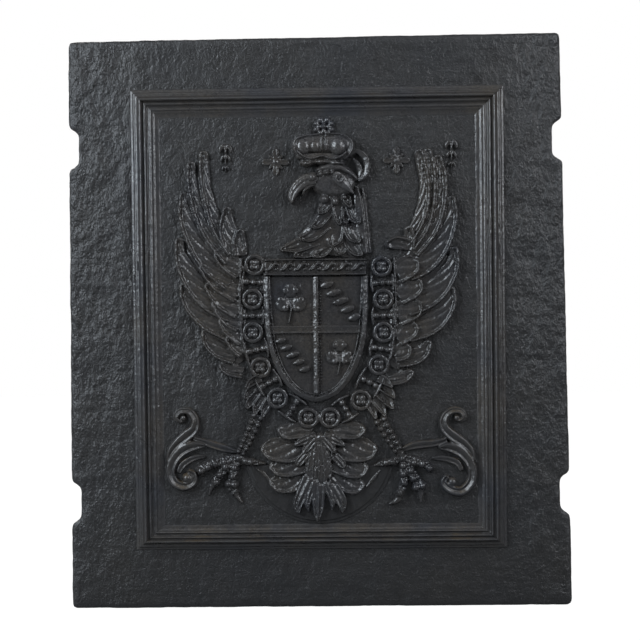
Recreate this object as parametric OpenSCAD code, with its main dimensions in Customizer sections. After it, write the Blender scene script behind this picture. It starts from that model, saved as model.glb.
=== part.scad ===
// Cast-iron fireback: a hearth plate with a mitred moulding, four side notches
// for wall holdfasts, and a crowned eagle in relief.
// The pieces are the separately carved parts of the foundry pattern: a board,
// four lengths of moulding, and the ornaments that sit on the board's face.
// +Z is up, the decorated face looks along -Y, the foot stands on Z = 0.

/* [Plate] */
// Width of the plate across its foot
plate_w = 601; // [500:1:760]
// Height of the plate at its right-hand side
plate_h = 688; // [590:1:860]
// Thickness of the plate
plate_t = 20; // [14:1:32]
// How far the right-hand edge leans in at the head
edge_lean = 10; // [0:1:14]
// How far the head falls towards the left
head_fall = 7; // [0:1:12]
// Radius of the four outer corners
corner_r = 4; // [1:0.5:10]

/* [Holdfast notches] */
// Clear height of each notch at its floor
notch_h = 36; // [24:1:50]
// Depth of each notch in from the edge
notch_d = 12; // [8:1:20]
// Height of the sloped run-out above and below each notch
notch_slope = 8; // [2:1:14]
// Height of the lower notches' centre above the foot, at the left
lower_notch_z = 127; // [90:1:180]
// Height of the upper notches' centre above the foot, at the left
upper_notch_z = 552; // [420:1:560]
// How much higher the right-hand notches sit
notch_rise = 7; // [0:1:12]

/* [Moulding] */
// Flat border at the left and right of the moulding
side_border = 78; // [60:1:100]
// Flat border under the moulding
foot_border = 70; // [50:1:90]
// Flat border over the moulding, at the right
head_border = 63; // [45:1:80]
// How far the moulding's upper left corner leans out
frame_lean = 4; // [0:1:6]
// How far the top moulding falls towards the left
frame_fall = 3; // [0:1:6]
// Width of the head and side mouldings
mould_w = 35; // [28:1:46]
// Width of the foot moulding
foot_mould_w = 30; // [24:1:40]
// Height of the moulding's crest over the plate
crest_h = 10; // [7:0.5:13]

/* [Relief] */
// Height of the eagle's head, the highest point over the plate
head_relief = 16; // [15:0.5:22]
// Height of the crown, the neck and the tail's plume
body_relief = 12; // [9:0.5:14]
// Height of the small feathers along each wing's inner side
covert_relief = 10; // [7:0.5:13]
// Height of the long feathers, the tail, the claws and the scrolls
wing_relief = 7.5; // [5:0.5:10]
// Height of the marks in the field and of the disc behind the tail
low_relief = 3.5; // [2:0.5:5]
// Thickness of the shield's field
field_t = 3; // [2:0.5:4]
// Height of the shield's rim over the plate
rim_h = 8; // [6:0.5:11]
// Height of the charges over the shield's field
charge_h = 3.5; // [2:0.5:5]
// Radius of the chain's rings, at the middle of their round section
ring_r = 9.8; // [8:0.2:11]
// Radius of the round section of the chain's rings
ring_wire_r = 2.6; // [2:0.1:3.2]
// Radius of the beads between the rings
bead_r = 3.2; // [2.4:0.1:3.8]

/* [Hidden] */

$fn = 48;
iron = [0.14, 0.145, 0.155];
gap = 0.3;            // clearance between neighbouring ornaments
through = 40;         // height of a cut that passes through every ornament
tip_rise = 0.45;      // height of a stroke of no width, as a part of its full height
spans = 2;            // parts that a stroke has between two of its points
lap_l = 0.5;          // how far a joint in a carved stroke laps into the next part
lap_part = 0.8;       // its size there, as a part of the section
scroll_gap = 0.5;     // between the scrolls and the side mouldings
tail_gap = 3;         // between the tail's tip and the foot moulding
disc_gap = 0.5;       // between the disc behind the tail and the foot moulding
cross_gap = 1;        // between the crown's cross and the head moulding's line
cross_reach = 1.6;    // from the cross's middle to an arm's, in arm radii
depth = plate_t + head_relief;
back_y = depth / 2;
front_y = back_y - plate_t;

// Plate outline, anticlockwise from the lower left corner
plate_outline = [[-plate_w / 2, 0], [plate_w / 2, 0],
                 [plate_w / 2 - edge_lean, plate_h], [-plate_w / 2, plate_h - head_fall]];

// Outer corners of the moulding, anticlockwise from the lower left corner
frame_half_w = plate_w / 2 - side_border;
frame_top = plate_h - head_border;
frame_outline = [[-frame_half_w, foot_border], [frame_half_w, foot_border],
                 [frame_half_w, frame_top],
                 [-frame_half_w - frame_lean, frame_top - frame_fall]];
mould_widths = [foot_mould_w, mould_w, mould_w, mould_w];

panel_w = 2 * (frame_half_w - mould_w);
panel_foot = foot_border + foot_mould_w;
panel_h = frame_top - mould_w - panel_foot;

// Sections of a carved stroke: [part of the half width, part of the height]
leaf = [[1, 0], [0.75, 0.7], [0, 1], [-0.75, 0.7], [-1, 0]];
quill = [[1, 0], [0.8, 1], [-0.1, 0.75], [-0.8, 0.45], [-1, 0]];
loaf = [[1, 0], [0.9, 0.5], [0.5, 0.88], [0, 1], [-0.5, 0.88], [-0.9, 0.5], [-1, 0]];

// Each stroke is a list of [x, z, half width] along its middle, tip first
left_primaries = [
    [[-139, 549, 2], [-140, 530, 6.5], [-139, 505, 6.5], [-133, 480, 7.5], [-122, 453, 8.5],
     [-104, 425, 7]],
    [[-151, 539, 2], [-152, 520, 6.5], [-150, 497, 7], [-143, 473, 8], [-130, 446, 9],
     [-108, 416, 8]],
    [[-162, 500, 2], [-162, 480, 7], [-157, 458, 9], [-146, 434, 10.5], [-131, 411, 11],
     [-108, 388, 9]],
    [[-168, 445, 2], [-167, 426, 7], [-160, 406, 10], [-148, 386, 12], [-130, 366, 12],
     [-106, 350, 9]],
    [[-164, 391, 2], [-160, 374, 8], [-148, 357, 10.5], [-130, 341, 11], [-106, 327, 9]],
    [[-139, 335, 2], [-134, 321, 8], [-121, 308, 9.5], [-102, 299, 8]],
    [[-121, 294, 2], [-112, 287, 7.5], [-93, 281, 7]]];
right_primaries = [
    [[119, 549, 2], [123, 530, 5.5], [127, 507, 6], [125, 482, 7], [117, 458, 7], [106, 438, 6]],
    [[129, 550, 2], [132, 530, 7], [134, 505, 6.5], [131, 480, 7.5], [123, 455, 8.5],
     [108, 430, 7]],
    [[141, 542, 2], [145, 523, 7], [146, 500, 7.5], [142, 476, 8.5], [132, 451, 9.5],
     [112, 424, 8]],
    [[158, 493, 2], [158, 474, 8], [153, 452, 10], [142, 430, 12], [126, 411, 12], [106, 398, 9]],
    [[161, 432, 2], [160, 414, 8], [152, 395, 11], [138, 377, 12.5], [122, 366, 12],
     [104, 356, 9]],
    [[158, 384, 2], [155, 367, 9], [144, 349, 12], [128, 336, 12.5], [104, 325, 9]],
    [[131, 320, 2], [124, 307, 8.5], [111, 299, 10], [92, 293, 7]],
    [[111, 284, 2], [101, 276, 7.5], [82, 270, 6]]];
left_coverts = [
    [[-110, 482, 2], [-111, 466, 8], [-109, 448, 11], [-104, 427, 10]],
    [[-94, 455, 2], [-96, 440, 8], [-95, 424, 7]],
    [[-122, 420, 4], [-114, 417, 11], [-98, 415, 11]],
    [[-129, 396, 4], [-120, 394, 12], [-98, 391, 12]],
    [[-132, 369, 4], [-122, 368, 12], [-98, 365, 12]],
    [[-127, 343, 4], [-118, 343, 11.5], [-98, 340, 11]],
    [[-122, 317, 4], [-114, 317, 10.5], [-97, 315, 9]]];
right_coverts = [
    [[106, 457, 2], [108, 445, 6.5], [109, 430, 6]],
    [[78, 433, 4], [92, 436, 8], [108, 434, 7]],
    [[117, 413, 4], [109, 409, 12], [90, 400, 14]],
    [[119, 391, 4], [110, 385, 12], [91, 375, 14]],
    [[118, 366, 4], [109, 360, 12], [91, 350, 13]],
    [[114, 339, 4], [106, 333, 11], [90, 324, 11]],
    [[107, 313, 4], [99, 307, 9], [87, 300, 7]]];
left_shoulder = [[-100, 450, 5], [-99, 420, 9], [-101, 380, 10], [-100, 330, 10], [-93, 290, 5]];
right_shoulder = [[97, 446, 5], [96, 415, 8], [97, 375, 9], [95, 325, 8], [87, 290, 4]];

neck_body = [[24, 500, 13], [20, 478, 18], [13, 454, 26], [8, 434, 38], [6, 423, 44]];
neck_tufts = [
    [[-2, 471, 2], [4, 477, 6], [13, 488, 7]],
    [[-11, 455, 2], [-1, 460, 6], [10, 474, 7]],
    [[-26, 442, 2], [-10, 445, 7], [8, 460, 8]],
    [[-48, 429, 2], [-28, 433, 7.5], [-4, 443, 9]],
    [[-32, 421, 2], [-14, 426, 7], [2, 438, 9]],
    [[-11, 421, 2], [2, 426, 7], [12, 438, 8]],
    [[13, 431, 3], [18, 443, 9], [21, 458, 8]],
    [[24, 421, 3], [25, 432, 9], [24, 446, 8]],
    [[49, 436, 2], [41, 445, 8], [34, 458, 7]],
    [[50, 459, 2], [43, 467, 7], [37, 480, 6]],
    [[31, 458, 1.5], [32, 467, 4.5], [31, 480, 4]],
    [[25, 457, 1.5], [22, 466, 4.5], [19, 480, 4]],
    [[38, 478, 1.5], [34, 486, 5], [30, 500, 5]],
    [[52, 421, 2], [43, 428, 7], [34, 440, 7]]];
nape_bands = [
    [[46, 505, 2], [49, 478, 2], [53, 430, 2]],
    [[51, 504, 2], [54, 478, 2], [58, 429, 2]],
    [[56, 502, 1.5], [59, 478, 2], [63, 429, 2]]];
nape_curl = [[45, 543, 2], [55, 537, 4], [60, 526, 4.5], [55, 516, 4], [45, 511, 2]];

skull = [[-8, 514, 9], [4, 513, 14], [20, 512, 16.5], [34, 509, 14], [43, 504, 7]];
brow = [[-2, 522, 2], [12, 526, 3.5], [30, 524, 3.5], [42, 514, 2]];
upper_beak = [[-34, 482, 1], [-38, 493, 3], [-33, 506, 4.5], [-22, 514, 5.5], [-6, 516, 7]];
lower_beak = [[-26, 489, 1], [-19, 500, 3], [-5, 506, 5]];
eye_at = [25, 513];
eye_r = 6.5;

crown_rows = [
    [[-26, 543, 3.5], [4, 542, 4], [35, 542, 3.5]],
    [[-21, 533, 3], [4, 534.5, 3.5], [32, 532, 3]]];
crown_ribs = [
    [[-25, 545, 3], [-31, 556, 3.5], [-21, 563, 3], [2, 564, 3]],
    [[34, 543, 3.5], [38, 557, 4.5], [29, 564, 3.5], [8, 564, 3]],
    [[6, 542, 4], [6, 554, 4.5], [6, 566, 4]]];
crown_cap = [[-24, 552, 4], [5, 552, 12], [33, 552, 4]];
// Round swellings of the cap, with their radii
pearls = [[-20, 553.5, 6.2], [-6, 553.5, 5], [25, 553.5, 6.4]];
cross_at = [6, 576];
cross_arm_r = 5;

// Half of the shield's outline from its top corner to its point, about shield_x
shield_x = -5;
shield_half = [[62, 397], [62, 352], [59, 320], [51, 293], [38, 269], [20, 252], [0, 246]];
shield_top = 418;
chief_h = 20;
rim_w = 7;
bar_w = 10;
bar_z = 333;
stud_pitch = 24;      // between the studs on the chief
stud_r = [4.5, 3];    // large and small studs in turn

// Trefoils: [from the shield's middle, height in the drawing, radius of a lobe]
trefoils = [[-30, 369, 6.5], [29, 301, 6]];

// Bends of three lozenges: [from the shield's middle, height in the drawing,
// step between them, width and length of each]
bends = [[30, 366, 13, 11, 15], [-28, 301, 10.5, 9, 13]];

collar_places = [[-78, 411], [-81, 370], [-81, 330], [-72, 288], [-52, 251], [-15, 227],
                 [11, 227], [48, 248], [70, 290], [76, 329], [76, 369], [74, 408]];
bottom_pair = 5;      // the two rings at the bottom hang side by side with no beads
bead_pitch = 2.65;    // between the beads of a row, in bead radii

thigh_left_tufts = [
    [[-88, 241, 1], [-89, 254, 5.5], [-84, 270, 5]],
    [[-79, 233, 1], [-81, 247, 6], [-76, 263, 6]],
    [[-69, 236, 1], [-69, 250, 6], [-66, 264, 5]]];
thigh_right_tufts = [
    [[85, 236, 1], [85, 250, 5.5], [80, 266, 5]],
    [[74, 226, 1], [76, 242, 6], [72, 260, 6]],
    [[63, 227, 1], [64, 241, 6], [62, 255, 5]]];
shank_left = [[-75, 232, 8], [-86, 206, 7], [-98, 183, 5.5]];
shank_right = [[70, 226, 8], [83, 202, 7], [96, 182, 5.5]];
toes_left = [
    [[-141, 158, 1.2], [-146, 166, 4], [-137, 170, 5], [-124, 175, 5], [-102, 180, 4.5]],
    [[-135, 135, 1.2], [-132, 145, 3], [-126, 153, 4.5], [-117, 165, 5], [-101, 179, 4.5]],
    [[-94, 125, 1.2], [-101, 134, 3], [-107, 145, 5.5], [-106, 158, 5], [-100, 178, 4.5]],
    [[-66, 173, 1.2], [-76, 174, 3], [-90, 175, 4], [-98, 180, 4.5]]];
toes_right = [
    [[62, 169, 1.2], [72, 172, 3.5], [84, 174, 4], [96, 178, 4.5]],
    [[80, 123, 1.2], [91, 128, 3.5], [95, 138, 4], [99, 152, 4.5], [97, 176, 4.5]],
    [[119, 124, 1.2], [119, 134, 3.5], [117, 145, 6], [110, 158, 5], [98, 176, 4.5]],
    [[133, 160, 1.2], [130, 167, 4], [121, 172, 4.5], [98, 179, 4.5]]];

knuckles_left = [[-144, 165], [-136, 169], [-127, 173], [-116, 175], [-126, 151], [-122, 160],
                 [-115, 169], [-111, 149], [-104, 148], [-106, 158], [-104, 168], [-84, 175],
                 [-91, 176], [-99, 180]];
knuckles_right = [[77, 173], [85, 174], [94, 137], [99, 149], [98, 159], [98, 169], [113, 143],
                  [121, 145], [110, 154], [107, 163], [130, 166], [121, 171], [111, 173],
                  [97, 178]];
knuckle_r = 4.2;

tail_leaves = [
    [[-52, 216, 3], [-42, 212, 10], [-26, 212, 10], [-12, 208, 8]],
    [[-73, 192, 4], [-60, 190, 13], [-38, 189, 15], [-14, 192, 11]],
    [[-63, 170, 4], [-52, 169, 11], [-36, 169, 12], [-9, 175, 10]],
    [[-63, 152, 4], [-52, 150, 11], [-36, 150, 12], [-9, 161, 10]],
    [[54, 214, 3], [43, 212, 10], [26, 211, 10], [10, 207, 8]],
    [[68, 191, 4], [56, 189, 13], [36, 189, 15], [12, 191, 11]],
    [[57, 169, 4], [48, 167, 11], [34, 167, 12], [5, 176, 10]],
    [[52, 149, 4], [44, 147, 10], [32, 148, 11.5], [5, 161, 10]]];
tail_stems = [
    [[-79, 167, 1], [-68, 160, 3], [-57, 146, 2]],
    [[71, 165, 1], [63, 155, 3], [54, 144, 2]]];
plume_leaves = [
    [[-26, 111, 1], [-28, 125, 7], [-13, 155, 11]],
    [[25, 112, 1], [24, 127, 7.5], [14, 146, 8]],
    [[-6, 103, 1], [-5, 122, 9], [-3, 146, 9]],
    [[-2, 141, 2], [-3, 158, 11], [-3, 178, 14], [-3, 196, 12]]];
tail_knots = [[-14, 205], [-1, 203.5], [12, 205]];
knot_r = 7;
disc_at = [-2, 191];
disc_step = 4;
disc_top_z = 170;

// Each scroll: its curl and outer leaf, its volute, its stalk and an inner leaf
scroll_left_strips = [
    [[-166, 222, 1.5], [-174, 228, 3.5], [-169, 236, 4], [-158, 236, 4.5], [-151, 226, 5],
     [-152, 215, 6], [-161, 207, 7.5], [-172, 198, 6], [-180, 188, 5], [-184, 174, 2]],
    [[-138, 195, 2], [-151, 195, 6], [-165, 190, 7], [-176, 179, 6.5], [-181, 164, 6],
     [-176, 151, 6], [-164, 146, 5.5], [-153, 151, 4.5], [-153, 161, 4], [-161, 165, 3]],
    [[-99, 187, 2], [-118, 192, 5], [-140, 199, 4.5], [-154, 204, 3]],
    [[-138, 182, 2], [-153, 180, 4], [-166, 172, 4.5], [-172, 161, 3]]];
scroll_right_strips = [
    [[164, 221, 1.5], [172, 226, 3.5], [167, 234, 4], [156, 234, 4.5], [148, 226, 5],
     [148, 214, 6], [158, 204, 7], [170, 196, 6], [179, 186, 5], [183, 173, 2]],
    [[140, 190, 2], [152, 191, 6], [164, 187, 7], [175, 177, 6.5], [181, 163, 6], [179, 148, 6],
     [168, 138, 6], [154, 140, 5.5], [146, 149, 4.5], [152, 158, 3]],
    [[94, 187, 2], [112, 193, 5], [138, 196, 4.5], [152, 201, 3]],
    [[132, 178, 2], [149, 177, 4], [163, 172, 4.5], [169, 161, 3]]];
scroll_strip_h = [1, 1, 0.7, 0.65];      // their heights, as parts of the relief
// Round eyes: [x, z, radius]
scroll_left_eyes = [[-161, 156, 6.5], [-165, 228, 4.5]];
scroll_right_eyes = [[157, 149, 6], [163, 226, 4.5]];

drop_places = [[-112, 534], [159, 537]];
drop_h = 40;
flower_places = [[-52, 534], [93, 535]];
flower_r = 17;

function last(list) = len(list) - 1;
function norm2(v) = v / norm(v);

// One span of a Catmull-Rom curve from b to c
function span(a, b, c, d, t) =
    0.5 * (2 * b + (c - a) * t + (2 * a - 5 * b + 4 * c - d) * t * t
           + (3 * b - a - 3 * c + d) * t * t * t);

// Points along a smooth curve through every point of p, n to a span
function smooth(p, n) = concat(
    [for (i = [0 : last(p) - 1], s = [0 : n - 1])
        span(p[max(i - 1, 0)], p[i], p[i + 1], p[min(i + 2, last(p))], s / n)],
    [p[last(p)]]);

// The drawing is stretched to the panel: sideways until the scrolls lie scroll_gap from
// the mouldings, upwards until the tail's tip and the cross keep their gaps
function reach(strips) = max([for (p = strips, q = p) abs(q[0]) + q[2]]);
tail_tip_z = plume_leaves[2][0][1];
cross_top_z = cross_at[1] + cross_reach * cross_arm_r + cross_arm_r;
kx = (panel_w - 2 * scroll_gap)
     / (2 * max(reach(scroll_left_strips), reach(scroll_right_strips)));
kz = (panel_h - tail_gap - cross_gap) / (cross_top_z - tail_tip_z);
k = min(kx, kz);
disc_r = disc_at[1] - tail_tip_z + (tail_gap - disc_gap) / kz;

// A drawn point in its real place on the panel
function placed(p) = [kx * p[0], panel_foot + tail_gap + kz * (p[1] - tail_tip_z)];

function across(q, i) =
    let (a = q[max(i - 1, 0)], b = q[min(i + 1, last(q))],
         t = norm2([b[0] - a[0], b[1] - a[1]]))
    [-t[1], t[0]];

// Corners of the stroke's section at point i, its height easing down to the tips
function section(q, i, h, shape) =
    let (side = across(q, i), w = q[i][2],
         broadest = max([for (p = q) p[2]]),
         top = h * (tip_rise + (1 - tip_rise) * sqrt(q[i][2] / broadest)))
    [for (s = shape) concat(placed([q[i][0] + side[0] * w * s[0], q[i][1] + side[1] * w * s[0]]),
                            top * s[1])];

// The inner corner where two mouldings meet, for corner i of the outline
function mitre(i) =
    let (n = len(frame_outline), p = frame_outline[i],
         u = norm2(p - frame_outline[(i + n - 1) % n]),
         v = norm2(frame_outline[(i + 1) % n] - p),
         before = mould_widths[(i + n - 1) % n], after = mould_widths[i])
    p + (before * v - after * u) / (u[0] * v[1] - u[1] * v[0]);

// Lays a drawing made on the bench, face up, against the plate's face
module on_plate() {
    translate([0, front_y, 0]) rotate([90, 0, 0]) children();
}

module put(p) {
    translate(placed(p)) children();
}

// What is drawn about the point p, stretched as the drawing is
module put_drawn(p) {
    put(p) scale([kx, kz, 1]) children();
}

// The section at point i drawn in and moved on, so that each joint in a stroke laps
function lap(q, i, h, shape) =
    let (c = placed(q[i]), side = across(q, i))
    [for (p = section(q, i, h, shape))
        [c[0] + lap_part * (p[0] - c[0]) + lap_l * side[1],
         c[1] + lap_part * (p[1] - c[1]) - lap_l * side[0], lap_part * p[2]]];

// A carved stroke: sections along a smooth curve, joined pair by pair
module stroke(path, h, shape = leaf, n = spans) {
    q = smooth(path, n);
    for (i = [0 : last(q) - 1]) {
        corners = concat(section(q, i, h, shape), section(q, i + 1, h, shape),
                         i < last(q) - 1 ? lap(q, i + 1, h, shape) : []);
        hull() polyhedron(corners, [[for (j = [0 : last(corners)]) j]]);
    }
}

module strokes(paths, h, n = spans, shape = leaf) {
    for (path = paths) stroke(path, h, shape, n);
}

// A section turned round, its high edge on the other side
function turned(shape) = [for (i = [last(shape) : -1 : 0]) [-shape[i][0], shape[i][1]]];

// The flat outline of a stroke
module print(path, n = spans) {
    q = smooth(path, n);
    for (i = [0 : last(q) - 1]) {
        a = section(q, i, 1, leaf);
        b = section(q, i + 1, 1, leaf);
        polygon([for (p = [a[0], b[0], b[4], a[4]]) [p[0], p[1]]]);
    }
}

module prints(paths) {
    for (path = paths) print(path);
}

// Room for the ornaments drawn as children, with the clearance all round
module room() {
    translate([0, 0, -1]) linear_extrude(through) offset(delta = gap) children();
}

// A half-round bead standing on the bench
module dome(r) {
    rotate_extrude() intersection() {
        circle(r);
        square(2 * r);
    }
}

// A low faceted boss
module boss(r, h, sides = 8) {
    hull() {
        cylinder(h / 2, r, r, $fn = sides);
        cylinder(h, r / 2, r / 2, $fn = sides);
    }
}

module collar_print() {
    for (p = collar_places) put(p) circle(ring_r * k + ring_wire_r * k, $fn = 32);
    for (p = bead_places()) put(p) circle(bead_r * k, $fn = 16);
}

function bead_places() = [
    for (i = [0 : last(collar_places) - 1], s = [-1, 0, 1])
        if (i != bottom_pair)
            let (a = collar_places[i], b = collar_places[i + 1], t = norm2(b - a))
            (a + b) / 2 + s * bead_pitch * bead_r * [-t[1], t[0]]];

module plate() {
    color(iron) on_plate() translate([0, 0, -plate_t]) linear_extrude(plate_t)
        difference() {
            offset(r = corner_r, $fn = 24) offset(delta = -corner_r) polygon(plate_outline);
            for (z = [lower_notch_z, upper_notch_z]) {
                translate([-plate_w / 2, z]) notch_shape();
                translate([plate_w / 2 - edge_lean * (z + notch_rise) / plate_h,
                           z + notch_rise])
                    mirror([1, 0]) notch_shape();
            }
        }
}

// Notch in a left-hand edge, with sloped run-outs that reach past the edge
module notch_shape() {
    past = 1;
    run = notch_slope * past / notch_d;
    polygon([[notch_d, -notch_h / 2], [notch_d, notch_h / 2],
             [-past, notch_h / 2 + notch_slope + run],
             [-past, -notch_h / 2 - notch_slope - run]]);
}

// A straight length of moulding along +Z, its section's outer toe at x = 0
// and its last edge, on the panel, at x = w
module moulding_bar(w, length) {
    u = w / 40;
    linear_extrude(length)
        polygon([[0, 0], [5 * u, crest_h * 0.25], [6 * u, crest_h * 0.45],
                 [10 * u, crest_h * 0.5], [20 * u, crest_h * 0.54],
                 [24 * u, crest_h * 0.35], [31 * u, crest_h * 0.22],
                 [33 * u, crest_h * 0.1], [w, crest_h * 0.08], [w, 0]]);
    // Crest and two beads: [middle from the toe, radius, top as a part of the crest]
    for (bead = [[15, 4.5, 1], [21.5, 2.2, 0.7], [28.5, 1.8, 0.45]])
        translate([bead[0] * u, bead[2] * crest_h - bead[1] * u, 0])
            cylinder(length, r = bead[1] * u);
}

// The moulding along side i of the frame, mitred at both ends
module moulding(i) {
    j = (i + 1) % 4;
    p = frame_outline[i];
    q = frame_outline[j];
    p_in = mitre(i) - p;
    q_in = mitre(j) - q;
    past = 0.2;
    run = mould_w;
    a = atan2(q[1] - p[1], q[0] - p[0]);
    color(iron) on_plate() difference() {
        intersection() {
            translate(p) rotate(a + 90) translate([0, run, 0]) rotate([90, 0, 0])
                moulding_bar(mould_widths[i], norm(q - p) + 2 * run);
            linear_extrude(through)
                polygon([p - past * p_in, q - past * q_in,
                         q + (1 + past) * q_in, p + (1 + past) * p_in]);
        }
        if (i == 2) crown_cross_room();
    }
}

module moulding_foot() moulding(0);
module moulding_right() moulding(1);
module moulding_head() moulding(2);
module moulding_left() moulding(3);

module crown_cross_room() {
    put(cross_at) for (a = [0 : 90 : 270]) rotate(a) translate([cross_reach * cross_arm_r * k, 0, -1])
        cylinder(through, r = cross_arm_r * k + gap);
}

module crown_cross() {
    color(iron) on_plate() put(cross_at) {
        for (a = [0 : 90 : 270]) rotate(a) translate([cross_reach * cross_arm_r * k, 0, 0])
            dome(cross_arm_r * k);
        dome(cross_arm_r * k);
    }
}

module crown_band() {
    color(iron) on_plate() strokes(crown_rows, body_relief);
}

module crown_arches() {
    color(iron) on_plate() difference() {
        union() {
            strokes(crown_ribs, body_relief);
            stroke(crown_cap, body_relief * 0.5, loaf);
        }
        room() {
            prints(crown_rows);
            for (p = pearls) put(p) circle(p[2] * k, $fn = 24);
            put(cross_at) circle(2.6 * cross_arm_r * k, $fn = 24);
        }
    }
}

module crown_pearls() {
    color(iron) on_plate() for (p = pearls) put(p) {
        cylinder(body_relief * 0.4, r = p[2] * k);
        translate([0, 0, body_relief * 0.4]) dome(p[2] * k);
    }
}

module eagle_head() {
    color(iron) on_plate() difference() {
        union() {
            stroke(skull, head_relief, loaf, 4);
            stroke(brow, head_relief * 0.9);
        }
        room() {
            prints(crown_rows);
            put(eye_at) circle(eye_r * k, $fn = 32);
        }
    }
}

module eagle_beak() {
    color(iron) on_plate() difference() {
        union() {
            stroke(upper_beak, body_relief);
            stroke(lower_beak, body_relief * 0.8);
        }
        room() {
            print(skull, 4);
            print(brow);
        }
    }
}

module eagle_eye() {
    lid_r = 1.4 * k;
    socket_h = head_relief - 2.5;
    color(iron) on_plate() put(eye_at) {
        cylinder(socket_h, r = eye_r * k);
        translate([0, 0, socket_h]) rotate_extrude()
            translate([eye_r * k - lid_r, 0]) circle(lid_r);
        translate([0, 0, socket_h]) dome(2 * k);
    }
}

module neck_feathers() {
    color(iron) on_plate() difference() {
        union() {
            stroke(neck_body, body_relief * 0.75, loaf);
            strokes(neck_tufts, body_relief);
        }
        room() {
            print(skull, 4);
            print(brow);
            polygon(shield_top_outline());
        }
    }
}

module nape_ribbon() {
    color(iron) on_plate() difference() {
        union() {
            strokes(nape_bands, wing_relief * 0.6);
            stroke(nape_curl, wing_relief);
        }
        room() {
            print(skull, 4);
            print(brow);
            prints(crown_rows);
            prints(neck_tufts);
            print(neck_body);
            polygon(shield_top_outline());
        }
    }
}

module wing_primaries(feathers, coverts, shoulder, thigh_tufts, shape) {
    difference() {
        strokes(feathers, wing_relief, spans, shape);
        room() {
            prints(coverts);
            print(shoulder);
            prints(thigh_tufts);
            collar_print();
        }
    }
}

module wing_coverts(coverts, shoulder, thigh_tufts, shape) {
    difference() {
        union() {
            strokes(coverts, covert_relief, spans, shape);
            stroke(shoulder, covert_relief * 0.8, loaf);
        }
        room() {
            prints(thigh_tufts);
            collar_print();
        }
    }
}

module wing_left_primaries() {
    color(iron) on_plate()
        wing_primaries(left_primaries, left_coverts, left_shoulder, thigh_left_tufts,
                       turned(quill));
}

module wing_left_coverts() {
    color(iron) on_plate()
        wing_coverts(left_coverts, left_shoulder, thigh_left_tufts, turned(quill));
}

module wing_right_primaries() {
    color(iron) on_plate()
        wing_primaries(right_primaries, right_coverts, right_shoulder, thigh_right_tufts,
                       quill);
}

module wing_right_coverts() {
    color(iron) on_plate()
        wing_coverts(right_coverts, right_shoulder, thigh_right_tufts, quill);
}

// The chief is the band across the top of the shield
function shield_top_outline() =
    let (half = shield_half[0][0], foot = shield_half[0][1])
    [placed([shield_x - half, foot]), placed([shield_x + half, foot]),
     placed([shield_x + half, shield_top]), placed([shield_x - half, shield_top])];

// Both halves of the shield's outline, under the chief
module shield_outline() {
    half = smooth(shield_half, 3);
    polygon(concat([for (p = half) placed([shield_x + p[0], p[1]])],
                   [for (i = [last(half) - 1 : -1 : 0])
                       placed([shield_x - half[i][0], half[i][1]])]));
}

module shield_inside() {
    offset(delta = -rim_w * k) shield_outline();
}

module shield_field() {
    color(iron) on_plate() linear_extrude(field_t) shield_inside();
}

module shield_rim() {
    color(iron) on_plate() linear_extrude(rim_h) difference() {
        shield_outline();
        shield_inside();
    }
}

module shield_bars() {
    color(iron) on_plate() translate([0, 0, field_t]) linear_extrude(charge_h)
        intersection() {
            shield_inside();
            put([shield_x, bar_z]) union() {
                square([bar_w * k, panel_w], center = true);
                square([panel_w, bar_w * k], center = true);
            }
        }
}

module shield_chief() {
    color(iron) on_plate() {
        linear_extrude(rim_h) difference() {
            polygon(shield_top_outline());
            for (p = collar_places) put(p) circle((ring_r + ring_wire_r) * k + gap);
        }
        for (i = [-2 : 2])
            put([shield_x + i * stud_pitch, shield_top - chief_h / 2])
                translate([0, 0, rim_h]) dome(k * stud_r[abs(i) % 2]);
    }
}

module lozenge(w, h) {
    linear_extrude(charge_h) polygon([[w / 2, 0], [0, h / 2], [-w / 2, 0], [0, -h / 2]]);
}

module trefoil(r) {
    for (a = [90, 210, 330]) rotate(a) translate([1.15 * r, 0, 0]) cylinder(charge_h, r = r);
    translate([-r / 4, -3.2 * r, 0]) cube([r / 2, 3.2 * r, charge_h]);
}

module shield_charges() {
    color(iron) on_plate() translate([0, 0, field_t]) {
        for (t = trefoils) put([shield_x + t[0], t[1]]) trefoil(t[2] * k);
        for (b = bends, s = [-1 : 1])
            put([shield_x + b[0] + b[2] * s, b[1] - b[2] * s])
                rotate(45) lozenge(b[3] * k, b[4] * k);
    }
}

module collar_rings() {
    color(iron) on_plate() for (p = collar_places) put(p)
        rotate_extrude() intersection() {
            translate([ring_r * k, 0]) circle(ring_wire_r * k);
            square((ring_r + 2 * ring_wire_r) * k);
        }
}

module collar_rosettes() {
    petal_r = 0.24 * ring_r * k;
    color(iron) on_plate() for (p = collar_places) put(p)
        for (a = [45 : 90 : 315]) rotate(a) translate([1.5 * petal_r, 0, 0]) dome(petal_r);
}

module collar_beads() {
    color(iron) on_plate() for (p = bead_places()) put(p) dome(bead_r * k);
}

module thigh(tufts) {
    color(iron) on_plate() difference() {
        strokes(tufts, covert_relief);
        room() collar_print();
    }
}

module thigh_left() thigh(thigh_left_tufts);
module thigh_right() thigh(thigh_right_tufts);

// A scaled shank: two rows of bosses over a round core
module leg(shank, tufts) {
    rows = 7;
    q = smooth(shank, 3);
    color(iron) on_plate() difference() {
        union() {
            stroke(shank, wing_relief * 0.7, loaf);
            for (i = [0 : rows - 1], side = [-1, 1]) {
                t = (i + 0.5) / rows * last(q);
                a = q[floor(t)];
                b = q[min(floor(t) + 1, last(q))];
                c = a + (b - a) * (t - floor(t));
                put_drawn([c[0], c[1]] + side * c[2] * 0.5 * across(q, floor(t)))
                    boss(c[2] * 0.42, wing_relief);
            }
        }
        room() {
            prints(tufts);
            collar_print();
        }
    }
}

module leg_left() leg(shank_left, thigh_left_tufts);
module leg_right() leg(shank_right, thigh_right_tufts);

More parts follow.
